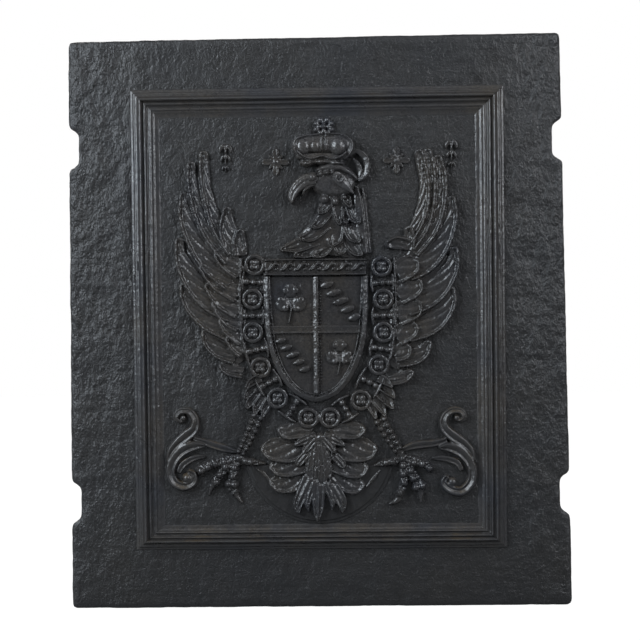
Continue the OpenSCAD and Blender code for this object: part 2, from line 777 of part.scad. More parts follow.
module claw(toes, knuckles, shank) {
    color(iron) on_plate() difference() {
        union() {
            strokes(toes, wing_relief * 0.85);
            for (p = knuckles) put_drawn(p) boss(knuckle_r, wing_relief, 6);
        }
        room() print(shank);
    }
}

module claw_left() claw(toes_left, knuckles_left, shank_left);
module claw_right() claw(toes_right, knuckles_right, shank_right);

module plume_print() {
    prints(plume_leaves);
    for (p = tail_knots) put(p) circle(knot_r * k, $fn = 16);
}

module tail_lobes() {
    half = len(tail_leaves) / 2;
    color(iron) on_plate() difference() {
        union() {
            for (i = [0 : last(tail_leaves)])
                stroke(tail_leaves[i], wing_relief, i < half ? turned(quill) : quill);
            strokes(tail_stems, wing_relief * 0.6);
        }
        room() {
            plume_print();
            collar_print();
            prints(toes_left);
            prints(toes_right);
        }
    }
}

module tail_plume() {
    color(iron) on_plate() difference() {
        union() {
            strokes(plume_leaves, covert_relief);
            for (p = tail_knots) put(p) boss(knot_r * k, covert_relief);
        }
        room() collar_print();
    }
}

// The foot of a low stepped disc, seen between the claws and under the tail
module tail_disc() {
    color(iron) on_plate() difference() {
        put_drawn(disc_at) {
            cylinder(low_relief * 0.35, r = disc_r);
            cylinder(low_relief * 0.7, r = disc_r - disc_step);
        }
        translate([-panel_w, placed([0, disc_top_z])[1], -1])
            cube([2 * panel_w, panel_h, through]);
        room() {
            prints(tail_leaves);
            prints(tail_stems);
            plume_print();
            prints(toes_left);
            prints(toes_right);
            print(shank_left);
            print(shank_right);
            prints(scroll_left_strips);
            prints(scroll_right_strips);
        }
    }
}

module scroll(strips, eyes, toes, knuckles, shank, shape) {
    color(iron) on_plate() difference() {
        union() {
            for (i = [0 : last(strips)])
                stroke(strips[i], wing_relief * scroll_strip_h[i], shape);
            for (p = eyes) put(p) boss(p[2] * k, wing_relief);
        }
        room() {
            prints(toes);
            for (p = knuckles) put_drawn(p) circle(knuckle_r, $fn = 8);
            print(shank);
        }
    }
}

module scroll_left() {
    scroll(scroll_left_strips, scroll_left_eyes, toes_left, knuckles_left, shank_left,
           turned(quill));
}

module scroll_right() {
    scroll(scroll_right_strips, scroll_right_eyes, toes_right, knuckles_right, shank_right,
           quill);
}

// A drop of three husks that hang from each other, largest first
module drop(at) {
    color(iron) on_plate() for (i = [0 : 2]) {
        size = 1 - 0.22 * i;
        top = at[1] + drop_h / 2 - i * drop_h / 3.2;
        for (side = [-1, 1])
            stroke([[at[0] + side * 6.5 * size, top - 9 * size, 1],
                    [at[0] + side * 5.5 * size, top - 3 * size, 3 * size],
                    [at[0], top + 2 * size, 2.5 * size]], low_relief);
        stroke([[at[0], top - 13 * size, 1.2], [at[0], top, 2.6 * size]], low_relief);
    }
}

module drop_left() drop(drop_places[0]);
module drop_right() drop(drop_places[1]);

// A flower of four petals round a boss, with four small leaves between them
module flower(at) {
    color(iron) on_plate() {
        put(at) boss(4 * k, low_relief + 1);
        for (a = [0 : 90 : 270]) {
            along = [cos(a + 90), sin(a + 90)];
            diagonal = [cos(a + 45), sin(a + 45)];
            stroke([for (s = [[1, 1], [0.75, 5], [0.2, 2]])
                        concat(at + flower_r * s[0] * along, s[1])], low_relief);
            stroke([for (s = [[0.75, 0.8], [0.5, 2.2], [0.2, 1.5]])
                        concat(at + flower_r * s[0] * diagonal, s[1])], low_relief);
        }
    }
}

module flower_left() flower(flower_places[0]);
module flower_right() flower(flower_places[1]);

plate();
moulding_foot();
moulding_right();
moulding_head();
moulding_left();
crown_band();
crown_arches();
crown_pearls();
crown_cross();
eagle_head();
eagle_beak();
eagle_eye();
neck_feathers();
nape_ribbon();
wing_left_primaries();
wing_left_coverts();
wing_right_primaries();
wing_right_coverts();
shield_field();
shield_rim();
shield_bars();
shield_chief();
shield_charges();
collar_rings();
collar_rosettes();
collar_beads();
thigh_left();
thigh_right();
leg_left();
leg_right();
claw_left();
claw_right();
tail_lobes();
tail_plume();
tail_disc();
scroll_left();
scroll_right();
drop_left();
flower_left();
flower_right();
drop_right();
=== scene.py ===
# A cast-iron fireback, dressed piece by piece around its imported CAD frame.
# Lengths are written in millimetres and made metres where a mesh takes its place.
# The ornaments are carved flat on a bench, face up, and then stood against the board.
import math

import bpy
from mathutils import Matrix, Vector


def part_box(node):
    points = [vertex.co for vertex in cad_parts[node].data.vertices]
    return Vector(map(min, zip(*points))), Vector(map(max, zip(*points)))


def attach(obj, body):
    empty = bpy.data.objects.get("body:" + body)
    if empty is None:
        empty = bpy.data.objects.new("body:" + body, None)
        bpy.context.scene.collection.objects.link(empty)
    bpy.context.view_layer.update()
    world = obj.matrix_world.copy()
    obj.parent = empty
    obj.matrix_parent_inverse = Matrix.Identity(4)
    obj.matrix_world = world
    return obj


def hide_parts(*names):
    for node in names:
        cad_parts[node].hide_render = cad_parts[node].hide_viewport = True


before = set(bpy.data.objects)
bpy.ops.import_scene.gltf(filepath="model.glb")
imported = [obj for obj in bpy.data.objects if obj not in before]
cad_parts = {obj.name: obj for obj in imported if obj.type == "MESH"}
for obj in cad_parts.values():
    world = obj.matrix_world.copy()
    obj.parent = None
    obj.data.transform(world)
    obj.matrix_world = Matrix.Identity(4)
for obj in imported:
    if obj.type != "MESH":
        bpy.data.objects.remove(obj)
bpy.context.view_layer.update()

# -------- board
# The board is one flat plate of cast iron, poured face down in open sand. Its arrises are
# rounded, its skin is pimpled, and each side has two notches for wrought holdfasts.
MM = 0.001
board_low, board_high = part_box("plate")
face_y = board_low.y
middle_y = (board_low.y + board_high.y) / 2
board_w = 601
board_h = 688
edge_lean = 10
head_fall = 7
arris_r = 4
notch_h = 36
notch_d = 12
notch_slope = 8
notch_through = 60
notch_places = [(-1, 127), (-1, 552), (1, 134), (1, 559)]
board_swells = (34, 1.1)
board_pimples = (9, 0.8)
board_mesh = 3.1


def deselect_all():
    bpy.ops.object.select_all(action="DESELECT")


def take(piece):
    deselect_all()
    piece.select_set(True)
    bpy.context.view_layer.objects.active = piece


def settle(piece):
    """Puts the piece's place, turn and size into its mesh."""
    take(piece)
    bpy.ops.object.transform_apply(location=True, rotation=True, scale=True)


def finish_with(piece, kind, **settings):
    """Adds one modifier to the piece and applies it."""
    take(piece)
    modifier = piece.modifiers.new(kind.title(), kind)
    for name, value in settings.items():
        setattr(modifier, name, value)
    bpy.ops.object.modifier_apply(modifier=modifier.name)


def cast_skin(piece, lump, rise):
    """The uneven skin that sand leaves: lumps of that size in mm, standing that high."""
    sand = bpy.data.textures.new(f"sand_{lump:g}", "CLOUDS")
    sand.noise_scale = lump * MM
    sand.noise_depth = 1
    finish_with(piece, "DISPLACE", texture=sand, strength=rise * MM, mid_level=0.5)


def remesh(piece, cell):
    finish_with(piece, "REMESH", mode="VOXEL", voxel_size=cell * MM, use_smooth_shade=True)


def iron(name, peel, rough, tone_and_painted_light, rust=0.3, zones=False):
    """Blackened iron: cool black with brown patches, pale on worn edges, in hollows partly sooty
    and partly darkened as painted shade, and rusty where it faces up. peel is how deep the
    hammered skin is, tone how pale the black, set paler on raised parts as painted light and
    darker on the flat board as painted shade; with zones the skin is deep on the side borders and
    low on the left of the panel."""
    # the tone scales the black: set paler on the raised parts as painted light and darker on the
    # flat board as painted shade
    cool_black = tuple(tone_and_painted_light * c for c in (0.0070, 0.0075, 0.0090))
    brown_black = tuple(tone_and_painted_light * c for c in (0.0150, 0.0126, 0.0098))
    grain_grey = (0.0125, 0.0122, 0.0125)
    soot_and_shade_black = (0.004, 0.004, 0.0044)
    bare_edge = (0.040, 0.040, 0.042)
    rust_brown = tuple((1 + rust) * c for c in (0.026, 0.019, 0.011))
    paint = bpy.data.materials.new(name)
    paint.use_nodes = True
    tree = paint.node_tree
    node = tree.nodes
    link = tree.links.new
    shader = node["Principled BSDF"]
    shader.inputs["Specular IOR Level"].default_value = 0.5
    shader.inputs["Metallic"].default_value = 0.0
    place = node.new("ShaderNodeTexCoord").outputs["Object"]

    def feed(socket, value):
        """Sets a socket to a number or a colour, or links it to another node's output."""
        if isinstance(value, (int, float)):
            socket.default_value = value
        elif isinstance(value, tuple):
            socket.default_value = (*value, 1)
        else:
            link(value, socket)

    def add(kind, **settings):
        """A new node, with its inputs set by name."""
        n = node.new("ShaderNode" + kind)
        for key, value in settings.items():
            feed(n.inputs[key.replace("_", " ")], value)
        return n

    def noise(scale, detail, source=place, roughness=0.55):
        return add("TexNoise", Scale=scale, Detail=detail, Roughness=roughness,
                   Vector=source).outputs["Fac"]

    def between(source, low, high, to_low=0.0, to_high=1.0):
        return add("MapRange", From_Min=low, From_Max=high, To_Min=to_low, To_Max=to_high,
                   Value=source).outputs["Result"]

    def math_node(kind, a, b):
        m = add("Math")
        m.operation = kind
        for socket, value in zip(m.inputs, (a, b)):
            feed(socket, value)
        return m.outputs[0]

    def times(a, b):
        return math_node("MULTIPLY", a, b)

    def mix(amount, low, high):
        m = add("Mix", Factor=amount)
        m.data_type = "RGBA"
        for end, value in (("A", low), ("B", high)):
            feed([i for i in m.inputs if i.name == end and i.type == "RGBA"][0], value)
        return [o for o in m.outputs if o.type == "RGBA"][0]

    patches = between(noise(11, 4), 0.35, 0.68)
    grains = noise(520, 3)
    edges = add("NewGeometry")
    worn = between(edges.outputs["Pointiness"], 0.505, 0.58)
    # hollows darken towards a soot black: partly real soot, partly painted shade where the hollows
    # fall in shadow
    hollow_soot_and_shade = between(edges.outputs["Pointiness"], 0.5, 0.42)
    black = mix(patches, cool_black, brown_black)
    black = mix(between(grains, 0.35, 0.75), black, grain_grey)
    black = mix(times(hollow_soot_and_shade, 0.4), black, soot_and_shade_black)
    black = mix(times(worn, 0.35), black, bare_edge)
    up = add("SeparateXYZ", Vector=edges.outputs["Normal"])
    brown = times(between(noise(26, 5, roughness=0.7), 0.62 - 0.12 * rust, 0.72),
                  between(up.outputs["Z"], 0.05, 0.8))
    black = mix(times(brown, rust), black, rust_brown)
    link(black, shader.inputs["Base Color"])
    link(between(noise(60, 4), 0.3, 0.7, rough - 0.05, rough + 0.09), shader.inputs["Roughness"])

    def bump(height, depth, strength, under=None):
        b = add("Bump", Distance=depth * MM, Height=height, Strength=strength)
        if under:
            link(under, b.inputs["Normal"])
        return b.outputs["Normal"]

    def turned(angle, stretch):
        t = node.new("ShaderNodeMapping")
        t.inputs["Rotation"].default_value = (0, math.radians(angle), 0)
        t.inputs["Scale"].default_value = stretch
        link(place, t.inputs["Vector"])
        return t.outputs["Vector"]

    if zones:
        at = add("SeparateXYZ", Vector=place)
        x, z = at.outputs["X"], at.outputs["Z"]
        out = between(math_node("ABSOLUTE", x, 0), 0.19, 0.25)
        out = times(out, between(z, 0.05, 0.35, 0.5, 1.0))
        low_left = times(between(x, -0.07, -0.12), between(z, 0.42, 0.34))
        low_left = times(low_left, between(z, 0.20, 0.28, 0, 0.75))
        mask = math_node("MAXIMUM", math_node("MAXIMUM", out, low_left), 0.18)
        skin = bump(noise(42, 2, turned(12, (1, 1, 0.55))), 4.5 * peel, mask)
        skin = bump(noise(150, 2, turned(12, (1, 1, 0.62)), 0.6), 1.7 * peel, mask, skin)
        skin = bump(noise(330, 2, turned(-50, (1, 1, 0.6)), 0.6), 0.8 * peel, mask, skin)
        skin = bump(noise(85, 3, turned(0, (0.18, 1, 1.3))), 1.4, 0.6, skin)
        skin = bump(noise(190, 2, turned(30, (1, 1, 0.7)), 0.6), 1.1, 0.8, skin)
        skin = bump(noise(380, 3, place, 0.65), 0.9, 0.9, skin)
    else:
        skin = bump(noise(140, 2), 2.4 * peel, 1.0)
        skin = bump(noise(330, 2, place, 0.6), 0.9 * peel, 1.0, skin)
    link(bump(grains, 0.5, 0.3, skin), shader.inputs["Normal"])
    return paint


def hang(piece, name, node, paint):
    """Names the finished piece, paints it and fixes it in place of its CAD node."""
    piece.name = piece.data.name = name
    piece.data.materials.clear()
    piece.data.materials.append(paint)
    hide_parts(node)
    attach(piece, "root")


deselect_all()
bpy.ops.mesh.primitive_cube_add(
    size=1, location=(0, middle_y, board_h * MM / 2),
    scale=(board_w * MM, board_high.y - board_low.y, board_h * MM))
board = bpy.context.object
settle(board)
for v in board.data.vertices:
    if v.co.z > board_h * MM / 2 and v.co.x > 0:
        v.co.x -= edge_lean * MM
    elif v.co.z > board_h * MM / 2:
        v.co.z -= head_fall * MM
finish_with(board, "BEVEL", width=arris_r * MM, segments=3, limit_method="ANGLE")
for side, z in notch_places:
    edge = side * board_w / 2 - (edge_lean * z / board_h if side > 0 else 0)
    middle_x = (edge - side * notch_d / 2) * MM
    bpy.ops.mesh.primitive_cube_add(
        size=1, location=(middle_x, middle_y, z * MM),
        scale=(notch_d * MM, notch_through * MM, notch_h * MM))
    cutter = bpy.context.object
    settle(cutter)
    for v in cutter.data.vertices:
        if (v.co.x - middle_x) * side > 0:
            # the cutter reaches a notch's depth past the edge, and flares twice as far there
            v.co.x += side * notch_d * MM
            v.co.z += math.copysign(2 * notch_slope * MM, v.co.z - z * MM)
    finish_with(board, "BOOLEAN", object=cutter, operation="DIFFERENCE", solver="EXACT")
    bpy.data.objects.remove(cutter)
remesh(board, board_mesh)
finish_with(board, "SMOOTH", factor=0.5, iterations=4)
cast_skin(board, *board_swells)
cast_skin(board, *board_pimples)
# the board's black is painted darker than the raised ornaments', as painted shade on the flat
# plate
hang(board, "board", "plate",
     iron("board_iron", peel=1.7, rough=0.42, tone_and_painted_light=0.5, zones=True))

# -------- moulding
# Four lengths of planed moulding were nailed round the pattern, mitred at the corners.
# From outside in: a hollow, a high round crest, and two beads that step down to the panel.
frame_corners = [(-222.5, 70), (222.5, 70), (222.5, 625), (-226.5, 622)]
mould_names = ["foot", "right", "head", "left"]
mould_widths = [30, 35, 35, 35]
mould_spare = 60
mould_steps = 180
mould_swells = (45, 0.9)
mould_pimples = (7, 0.35)
sunk = 1.5  # how far every piece reaches into the board
section_w = 40
mould_section = [
    (0, -sunk), (0, 0), (0.7, 1.2), (1.8, 1.7), (3.8, 1.9), (4.7, 3.0), (5.7, 4.0), (7, 4.2),
    (9.2, 4.3), (10.4, 5.6), (11.6, 7.9), (12.8, 9.4), (14.2, 10), (15.4, 9.4), (16.4, 7.4),
    (17.2, 5.6), (18.2, 5.5), (19.2, 6.6), (20.4, 7), (21.6, 6.4), (22.6, 4.8), (23.6, 3.5),
    (25.2, 3.3), (26.4, 4.1), (27.8, 4.8), (29, 4.3), (30, 3.2), (31, 3.3), (32.2, 2.8),
    (33.4, 1.6), (35, 1.1), (38, 0.9), (section_w, 0), (section_w, -sunk)]


def flat(p):
    return Vector((p[0] * MM, p[1] * MM, 0))


def mitre(i):
    """The inner end of the mitre at one corner of the frame."""
    p, before, after = frame_corners[i], mould_widths[i - 1], mould_widths[i]
    u = (flat(p) - flat(frame_corners[i - 1])).normalized()
    v = (flat(frame_corners[(i + 1) % 4]) - flat(p)).normalized()
    return flat(p) + (before * v - after * u) * MM / (u.x * v.y - u.y * v.x)


def select_all():
    bpy.ops.mesh.select_all(action="SELECT")


def stand(piece):
    """Stands a piece that was made flat on the bench up against the board's face."""
    piece.rotation_euler = (math.pi / 2, 0, 0)
    piece.location = (0, face_y, 0)
    settle(piece)


for i, name in enumerate(mould_names):
    start, end = flat(frame_corners[i]), flat(frame_corners[(i + 1) % 4])
    spare = mould_spare * MM
    wide = mould_widths[i] / section_w * MM
    mesh = bpy.data.meshes.new("section")
    count = len(mould_section)
    mesh.from_pydata([(-a * wide, 0, h * MM) for a, h in mould_section],
                     [(n, (n + 1) % count) for n in range(count)], [])
    length = bpy.data.objects.new("length", mesh)
    bpy.context.scene.collection.objects.link(length)
    along = (end - start).normalized()
    finish_with(length, "SCREW", axis="Y", angle=0,
                screw_offset=(end - start).length + 2 * spare,
                steps=mould_steps, render_steps=mould_steps, use_merge_vertices=True)
    length.rotation_euler = (0, 0, math.atan2(along.y, along.x) - math.pi / 2)
    length.location = start - along * spare
    settle(length)
    bpy.ops.object.mode_set(mode="EDIT")
    for corner, inner, away in ((start, mitre(i), -1), (end, mitre((i + 1) % 4), 1)):
        cut = (inner - corner).normalized()
        normal = Vector((cut.y, -cut.x, 0))
        if normal.dot(along) * away < 0:
            normal = -normal
        select_all()
        bpy.ops.mesh.bisect(plane_co=corner, plane_no=normal, use_fill=True, clear_outer=True)
    select_all()
    bpy.ops.mesh.remove_doubles(threshold=1e-6)
    bpy.ops.mesh.normals_make_consistent(inside=False)
    bpy.ops.object.mode_set(mode="OBJECT")
    cast_skin(length, *mould_swells)
    cast_skin(length, *mould_pimples)
    stand(length)
    take(length)
    bpy.ops.object.shade_smooth_by_angle(angle=math.radians(50))
    # the moulding's black is painted paler than the board's, as painted light on its raised crests
    hang(length, f"{name}_moulding", f"moulding_{name}",
         iron(f"{name}_moulding_iron", peel=0.3, rough=0.30, tone_and_painted_light=3.0,
              rust=0.9 if name == "foot" else 0.4))

# -------- shield
# A small shield of thin board was pinned on the panel: a flat field inside a double rim,
# quartered by a cross of bars, with a studded chief across its top.
cell = 0.8
carved_swells = (11, 0.7)
carved_pimple = 3.5
shield_x = -5
shield_half = [(62, 397), (62, 352), (59, 320), (51, 293), (38, 269), (20, 252), (0, 246)]
shield_middle = 335
field_w, field_l, field_z = 0.885, 0.9, 322
chief_z = 408
cross_z = 333
field_high, rim_high, inner_rim_high = 3.0, 9.0, 6.2
upright_high, cross_bar_high, stud_high = 7.8, 6.4, 5.4
chief_high, chief_top_high, chief_foot_high, curl_high = 4.6, 8.0, 8.2, 8.6
leaf_high, stalk_high, lozenge_high = 4.4, 6.6, 9.0
# the ornaments' black is painted paler than the board's, as painted light on the raised relief
ornament_iron = iron("ornament_iron", peel=0.5, rough=0.23, tone_and_painted_light=2.8, rust=0.35)


def smooth_line(points, steps=8):
    """A smooth curve through every point, with that many steps from one to the next."""
    line = []
    last = len(points) - 1
    for i in range(last):
        a, b, c, d = (points[max(i - 1, 0)], points[i], points[i + 1], points[min(i + 2, last)])
        for s in range(steps):
            t = s / steps
            line.append(tuple(
                0.5 * (2 * q + (r - p) * t + (2 * p - 5 * q + 4 * r - e) * t * t
                       + (3 * q - p - 3 * r + e) * t ** 3) for p, q, r, e in zip(a, b, c, d)))
    line.append(tuple(points[last]))
    return line


def lengths_along(line):
    """How far each point of a line lies from its first."""
    runs = [0.0]
    for a, b in zip(line, line[1:]):
        runs.append(runs[-1] + math.hypot(b[0] - a[0], b[1] - a[1]))
    return runs


def fuller(points, share):
    """The same stroke, broader by that share."""
    return [(x, z, share * w) for x, z, w in points]


def round_from(x, z, r, angle):
    """The place r mm from (x, z) in that direction."""
    return x + r * math.cos(angle), z + r * math.sin(angle)


def hump(x, middle, width):
    """A soft ridge over x, one high and about twice the width broad."""
    return math.exp(-((x - middle) / width) ** 2)


def round_top(u, t, s, d):
    return 1 - 0.30 * u * u


def close_down_to(low):
    """Gives the open piece in edit mode walls from its selected rim down to a flat foot."""
    bpy.ops.mesh.extrude_edges_move()
    bpy.ops.transform.resize(value=(1, 1, 0), center_override=(0, 0, low * MM))
    bpy.ops.mesh.edge_face_add()
    select_all()
    bpy.ops.mesh.normals_make_consistent(inside=False)
    bpy.ops.object.mode_set(mode="OBJECT")


def carve(points, height, top=round_top, blunt=0.0, butt=0.0, edge=2.4, wide=14):
    """One carved stroke on the bench, height mm high. points are (x, z, half width), tip
    first; top(u, t, s, d) is the share of the height over u, -1 to 1 across, at s mm from the
    tip, a part t of the way, and d mm inside the outline. blunt and butt are the radii of the
    tip and the root, edge is how far the sides are rounded over, and wide counts the faces
    across."""
    row_pitch, sharpest = 1.6, 1.2
    line = smooth_line(points)
    runs = lengths_along(line)
    whole = runs[-1]
    rows = max(8, int(whole / row_pitch))

    def at(s):
        j = 0
        while j < len(runs) - 2 and runs[j + 1] < s:
            j += 1
        span = runs[j + 1] - runs[j] or 1
        f = min(max((s - runs[j]) / span, 0), 1)
        a, b = line[j], line[j + 1]
        c, d = line[max(j - 1, 0)], line[min(j + 2, len(line) - 1)]
        tx, tz = d[0] - c[0], d[1] - c[1]
        size = math.hypot(tx, tz) or 1
        return (a[0] + (b[0] - a[0]) * f, a[1] + (b[1] - a[1]) * f,
                a[2] + (b[2] - a[2]) * f, -tz / size, tx / size)

    def rounded(s, r):
        return math.sqrt(max(0.0, 1 - (1 - min(s / r, 1)) ** 2)) if r > 0 else 1.0

    bpy.ops.mesh.primitive_grid_add(x_subdivisions=wide, y_subdivisions=rows, size=2)
    stroke = bpy.context.object
    found = {}
    for v in stroke.data.vertices:
        # the faces are finest along both sides and at the tip
        u = max(-1, min(1, v.co.x))
        u = math.sin(u * math.pi / 2) * 0.35 + u * 0.65
        f = (v.co.y + 1) / 2
        f = f * f * (1.6 - 0.6 * f)
        key = round(f, 5)
        if key not in found:
            found[key] = at(f * whole)
        x, z, half, sx, sz = found[key]
        s = f * whole
        tip_r = max(blunt, sharpest)
        if s < 3 * tip_r:
            half = max(half, blunt)
        near = (1 - abs(u)) * half
        if s < tip_r:
            round_in = 1 - math.hypot(1 - s / tip_r, u * rounded(s, tip_r))
            near = max(0.0, round_in) * (tip_r + (half - tip_r) * s / tip_r)
            half = half * rounded(s, tip_r)
        if butt:
            half = half * rounded(whole - s, butt)
            near = min(near, (1 - abs(u)) * half, whole - s)
        h = height * top(u, f, s, near) * rounded(near, edge)
        if near <= 1e-6:
            h = 0.0
        v.co = ((x + sx * u * half) * MM, (z + sz * u * half) * MM, h * MM)
    bpy.ops.object.mode_set(mode="EDIT")
    select_all()
    bpy.ops.mesh.remove_doubles(threshold=1e-6)
    select_all()
    bpy.ops.mesh.region_to_loop()
    close_down_to(-sunk)
    return stroke


def knob(x, z, r, h, lift=0.0, across=None):
    """A round boss on the bench, of radius r, h high over its middle at the height lift, and
    of radius across along z if that is given."""
    bpy.ops.mesh.primitive_uv_sphere_add(
        segments=20, ring_count=12, radius=1, location=(x * MM, z * MM, lift * MM),
        scale=(r * MM, (across or r) * MM, h * MM))
    ball = bpy.context.object
    settle(ball)
    return ball


def hoop(x, z, r, wire, lift, tall=1.0, around=40, thick=14):
    """A round ring of wire on the bench, its middle at the height lift."""
    bpy.ops.mesh.primitive_torus_add(
        major_segments=around, minor_segments=thick, major_radius=r * MM, minor_radius=wire * MM,
        location=(x * MM, z * MM, lift * MM))
    ring = bpy.context.object
    ring.scale = (1, 1, tall)
    settle(ring)
    return ring


def fuse(parts, lumps=0.5, size=cell, soft=2):
    """Runs the carved parts together as the casting does, with filled inner corners. lumps is
    how high the pimples stand, size the cell of the mesh, soft how often it is smoothed."""
    deselect_all()
    for part in parts:
        part.select_set(True)
    bpy.context.view_layer.objects.active = parts[0]
    bpy.ops.object.join()
    whole = bpy.context.object
    remesh(whole, size)
    finish_with(whole, "SMOOTH", factor=0.5, iterations=soft)
    cast_skin(whole, *carved_swells)
    cast_skin(whole, carved_pimple, lumps)
    stand(whole)
    return whole


def slab(outline, low, high, rim=1.0):
    """A flat piece of that outline, from low to high over the board, its upper edge eased."""
    bpy.ops.mesh.primitive_circle_add(vertices=len(outline), radius=0.01, fill_type="NGON")
    piece = bpy.context.object
    for v, p in zip(piece.data.vertices, outline):
        v.co = (p[0] * MM, p[1] * MM, high * MM)
    bpy.ops.object.mode_set(mode="EDIT")
    select_all()
    bpy.ops.mesh.inset(thickness=rim * MM)
    select_all()
    bpy.ops.mesh.region_to_loop()
    bpy.ops.transform.translate(value=(0, 0, -rim * MM))
    close_down_to(low)
    return piece


def set_on(piece, name, node, paint=ornament_iron):
    """Hangs a carved ornament in place of its CAD node."""
    hang(piece, name, node, paint)


half = smooth_line(shield_half, 5)
shield_outline = ([(shield_x + x, z) for x, z in half]
                  + [(shield_x - x, z) for x, z in half[-2::-1]])
inner_outline = [(shield_x + (x - shield_x) * field_w,
                  field_z + (z - field_z) * (field_l if z < field_z else 1.0))
                 for x, z in shield_outline]
set_on(fuse([slab(inner_outline, -sunk, field_high, rim=0.8)], lumps=0.25),
       "shield_plate", "shield_field")


def rim_line(inset, half_width):
    """A stroke along the shield's sides and foot, that far inside its outline."""
    line = []
    for x, z in shield_outline:
        away = math.hypot(x - shield_x, z - shield_middle) or 1
        line.append((x - (x - shield_x) / away * inset,
                     z - (z - shield_middle) / away * inset if z < shield_middle else z,
                     half_width))
    return line[::3]


def ridge_right(u, t, s, d):
    """A moulded strip, highest on its right."""
    return 0.7 + 0.3 * max(0.0, 1 - abs(u - 0.5) / 1.5)


def slope_out(u, t, s, d):
    """A border that rises towards its outer side and is rounded over there."""
    return 0.62 + 0.38 * (1 - u) / 1.7 if u > -0.7 else 1.0 + (u + 0.7) * 0.5


def grooved(u, t, s, d):
    """A flat bar with a low bead along both sides."""
    return 0.82 + 0.18 * hump(abs(u), 0.72, 0.22)


def lozenge_top(u, t, s, d):
    return 1.0 - 0.3 * abs(u) - 0.3 * abs(t - 0.5)


set_on(fuse([carve(rim_line(3.2, 3.8), rim_high, slope_out, edge=1.2),
             carve(rim_line(9.2, 1.5), inner_rim_high, edge=1.4, wide=8)], lumps=0.35),
       "shield_border", "shield_rim")
bars = [carve([(shield_x - 0.5, z, 3.6) for z in (397, 330, 254)], upright_high, ridge_right,
              edge=0.8, blunt=2, butt=2, wide=12),
        carve([(shield_x + x, cross_z, 5.4) for x in (-56, 0, 56)], cross_bar_high, grooved,
              edge=1.3, blunt=2, butt=2)]
bars += [knob(shield_x + 5.6, 258 + 3.6 * n, 1.4, stud_high) for n in range(38)]
set_on(fuse(bars, lumps=0.3), "shield_cross_bars", "shield_bars")
chief = [carve([(shield_x - 62, 416.5, 1.8), (shield_x, 417, 1.8), (shield_x + 62, 416.5, 1.8)],
               chief_top_high, edge=1.4, blunt=2, butt=2, wide=8),
         carve([(shield_x - 62, 399.5, 2), (shield_x, 399, 2), (shield_x + 62, 399.5, 2)],
               chief_foot_high, edge=1.6, blunt=2, butt=2, wide=8),
         carve([(shield_x + x, chief_z, 9) for x in (-62, 0, 62)], chief_high,
               edge=1.6, blunt=4, butt=4, wide=10)]
for n in range(7):
    x = shield_x - 51 + 17 * n
    chief.append(carve([(x - 8, 404, 0.8), (x - 3, 406, 2.2), (x + 1, 411, 2.6), (x + 6, 412, 2.2),
                        (x + 7, 407, 1.6)], curl_high, edge=1.5, blunt=1, butt=1.4, wide=8))
    chief.append(knob(x + 3.5, 405.5, 2.6, 7.6))
set_on(fuse(chief), "shield_chief_band", "shield_chief")
charges = []
for x, z, r in ((shield_x - 30, 369, 9.5), (shield_x + 28, 304, 8.5)):
    for turn in (90, 210, 330):
        a = math.radians(turn)
        charges.append(knob(*round_from(x, z, 1.15 * r, a), r, leaf_high, lift=2.4))
        for spread in (-0.5, 0.5):
            charges.append(knob(*round_from(x, z, 1.3 * r, a + spread), 0.42 * r, 2.4, lift=5.4))
    charges.append(carve([(x - 3, z - 3.1 * r, 1.4), (x, z - 1.6 * r, 1.6), (x, z, 2)],
                         stalk_high, edge=1.2, blunt=1.4, wide=8))
for x, z, pitch, length in ((shield_x + 30, 367, 8.2, 21), (shield_x - 28, 303, 7.2, 18)):
    for n in (-2, -1, 0, 1, 2):
        mid_x, mid_z = x + pitch * n, z - 1.2 * pitch * n
        reach, half = 0.5 * length * (1 - 0.08 * abs(n)), 0.64 * pitch
        line = [(mid_x + e * reach, mid_z + 0.3 * e * reach, 0.6 * half if e else half)
                for e in (-1, 0, 1)]
        charges.append(carve(line, lozenge_high, lozenge_top, blunt=2.6, butt=2.6, edge=1.6))
set_on(fuse(charges, lumps=0.3), "shield_devices", "shield_charges")

# -------- collar
# A chain of twelve rings hangs round the shield. Each ring was turned and holds a small
# rosette; between two rings lie three shot in a row, with a narrow link at each end of it.
collar_places = [(-78, 411), (-81, 370), (-81, 330), (-72, 288), (-52, 251), (-15, 227),
                 (11, 227), (48, 248), (70, 290), (76, 329), (76, 369), (74, 408)]
foot_pair = 5  # the two lowest rings, which touch
ring_r = 10.6
wire_r = 3.0
petal_r, petal_out, petal_high = 4.0, 4.4, 6.2
shot_r, shot_pitch, shot_high = 4.5, 8.2, 6.6
link_out, link_short, link_high = 12, 8, 6.4
rings = []
for x, z in collar_places:
    rings += [hoop(x, z, ring_r, wire_r, lift=1.0, tall=1.45), knob(x, z, ring_r - 1, 2.6)]
set_on(fuse(rings, lumps=0.8), "collar_rings_cast", "collar_rings")
rosettes = []
for x, z in collar_places:
    for turn in (45, 135, 225, 315):
        rosettes.append(knob(*round_from(x, z, petal_out, math.radians(turn)), petal_r,
                             petal_high))
    rosettes.append(knob(x, z, 2.0, 6.0))
set_on(fuse(rosettes, lumps=0.3), "collar_rosettes_cast", "collar_rosettes")
shot = []
for i, (a, b) in enumerate(zip(collar_places, collar_places[1:])):
    if i == foot_pair:
        continue
    size = math.hypot(b[0] - a[0], b[1] - a[1])
    tx, tz = (b[0] - a[0]) / size, (b[1] - a[1]) / size
    mx, mz = (a[0] + b[0]) / 2, (a[1] + b[1]) / 2
    for n in (-1, 0, 1):
        shot.append(knob(mx - tz * shot_pitch * n, mz + tx * shot_pitch * n, shot_r, shot_high))
    for side in (-link_out, link_out):
        reach = size / 2 - link_short
        shot.append(carve([(mx - tz * side - tx * reach, mz + tx * side - tz * reach, 1.6),
                           (mx - tz * side * 1.12, mz + tx * side * 1.12, 2.6),
                           (mx - tz * side + tx * reach, mz + tx * side + tz * reach, 1.6)],
                          link_high, edge=1.8, blunt=1.6, butt=1.6, wide=8))
set_on(fuse(shot, lumps=0.3), "collar_shot", "collar_beads")

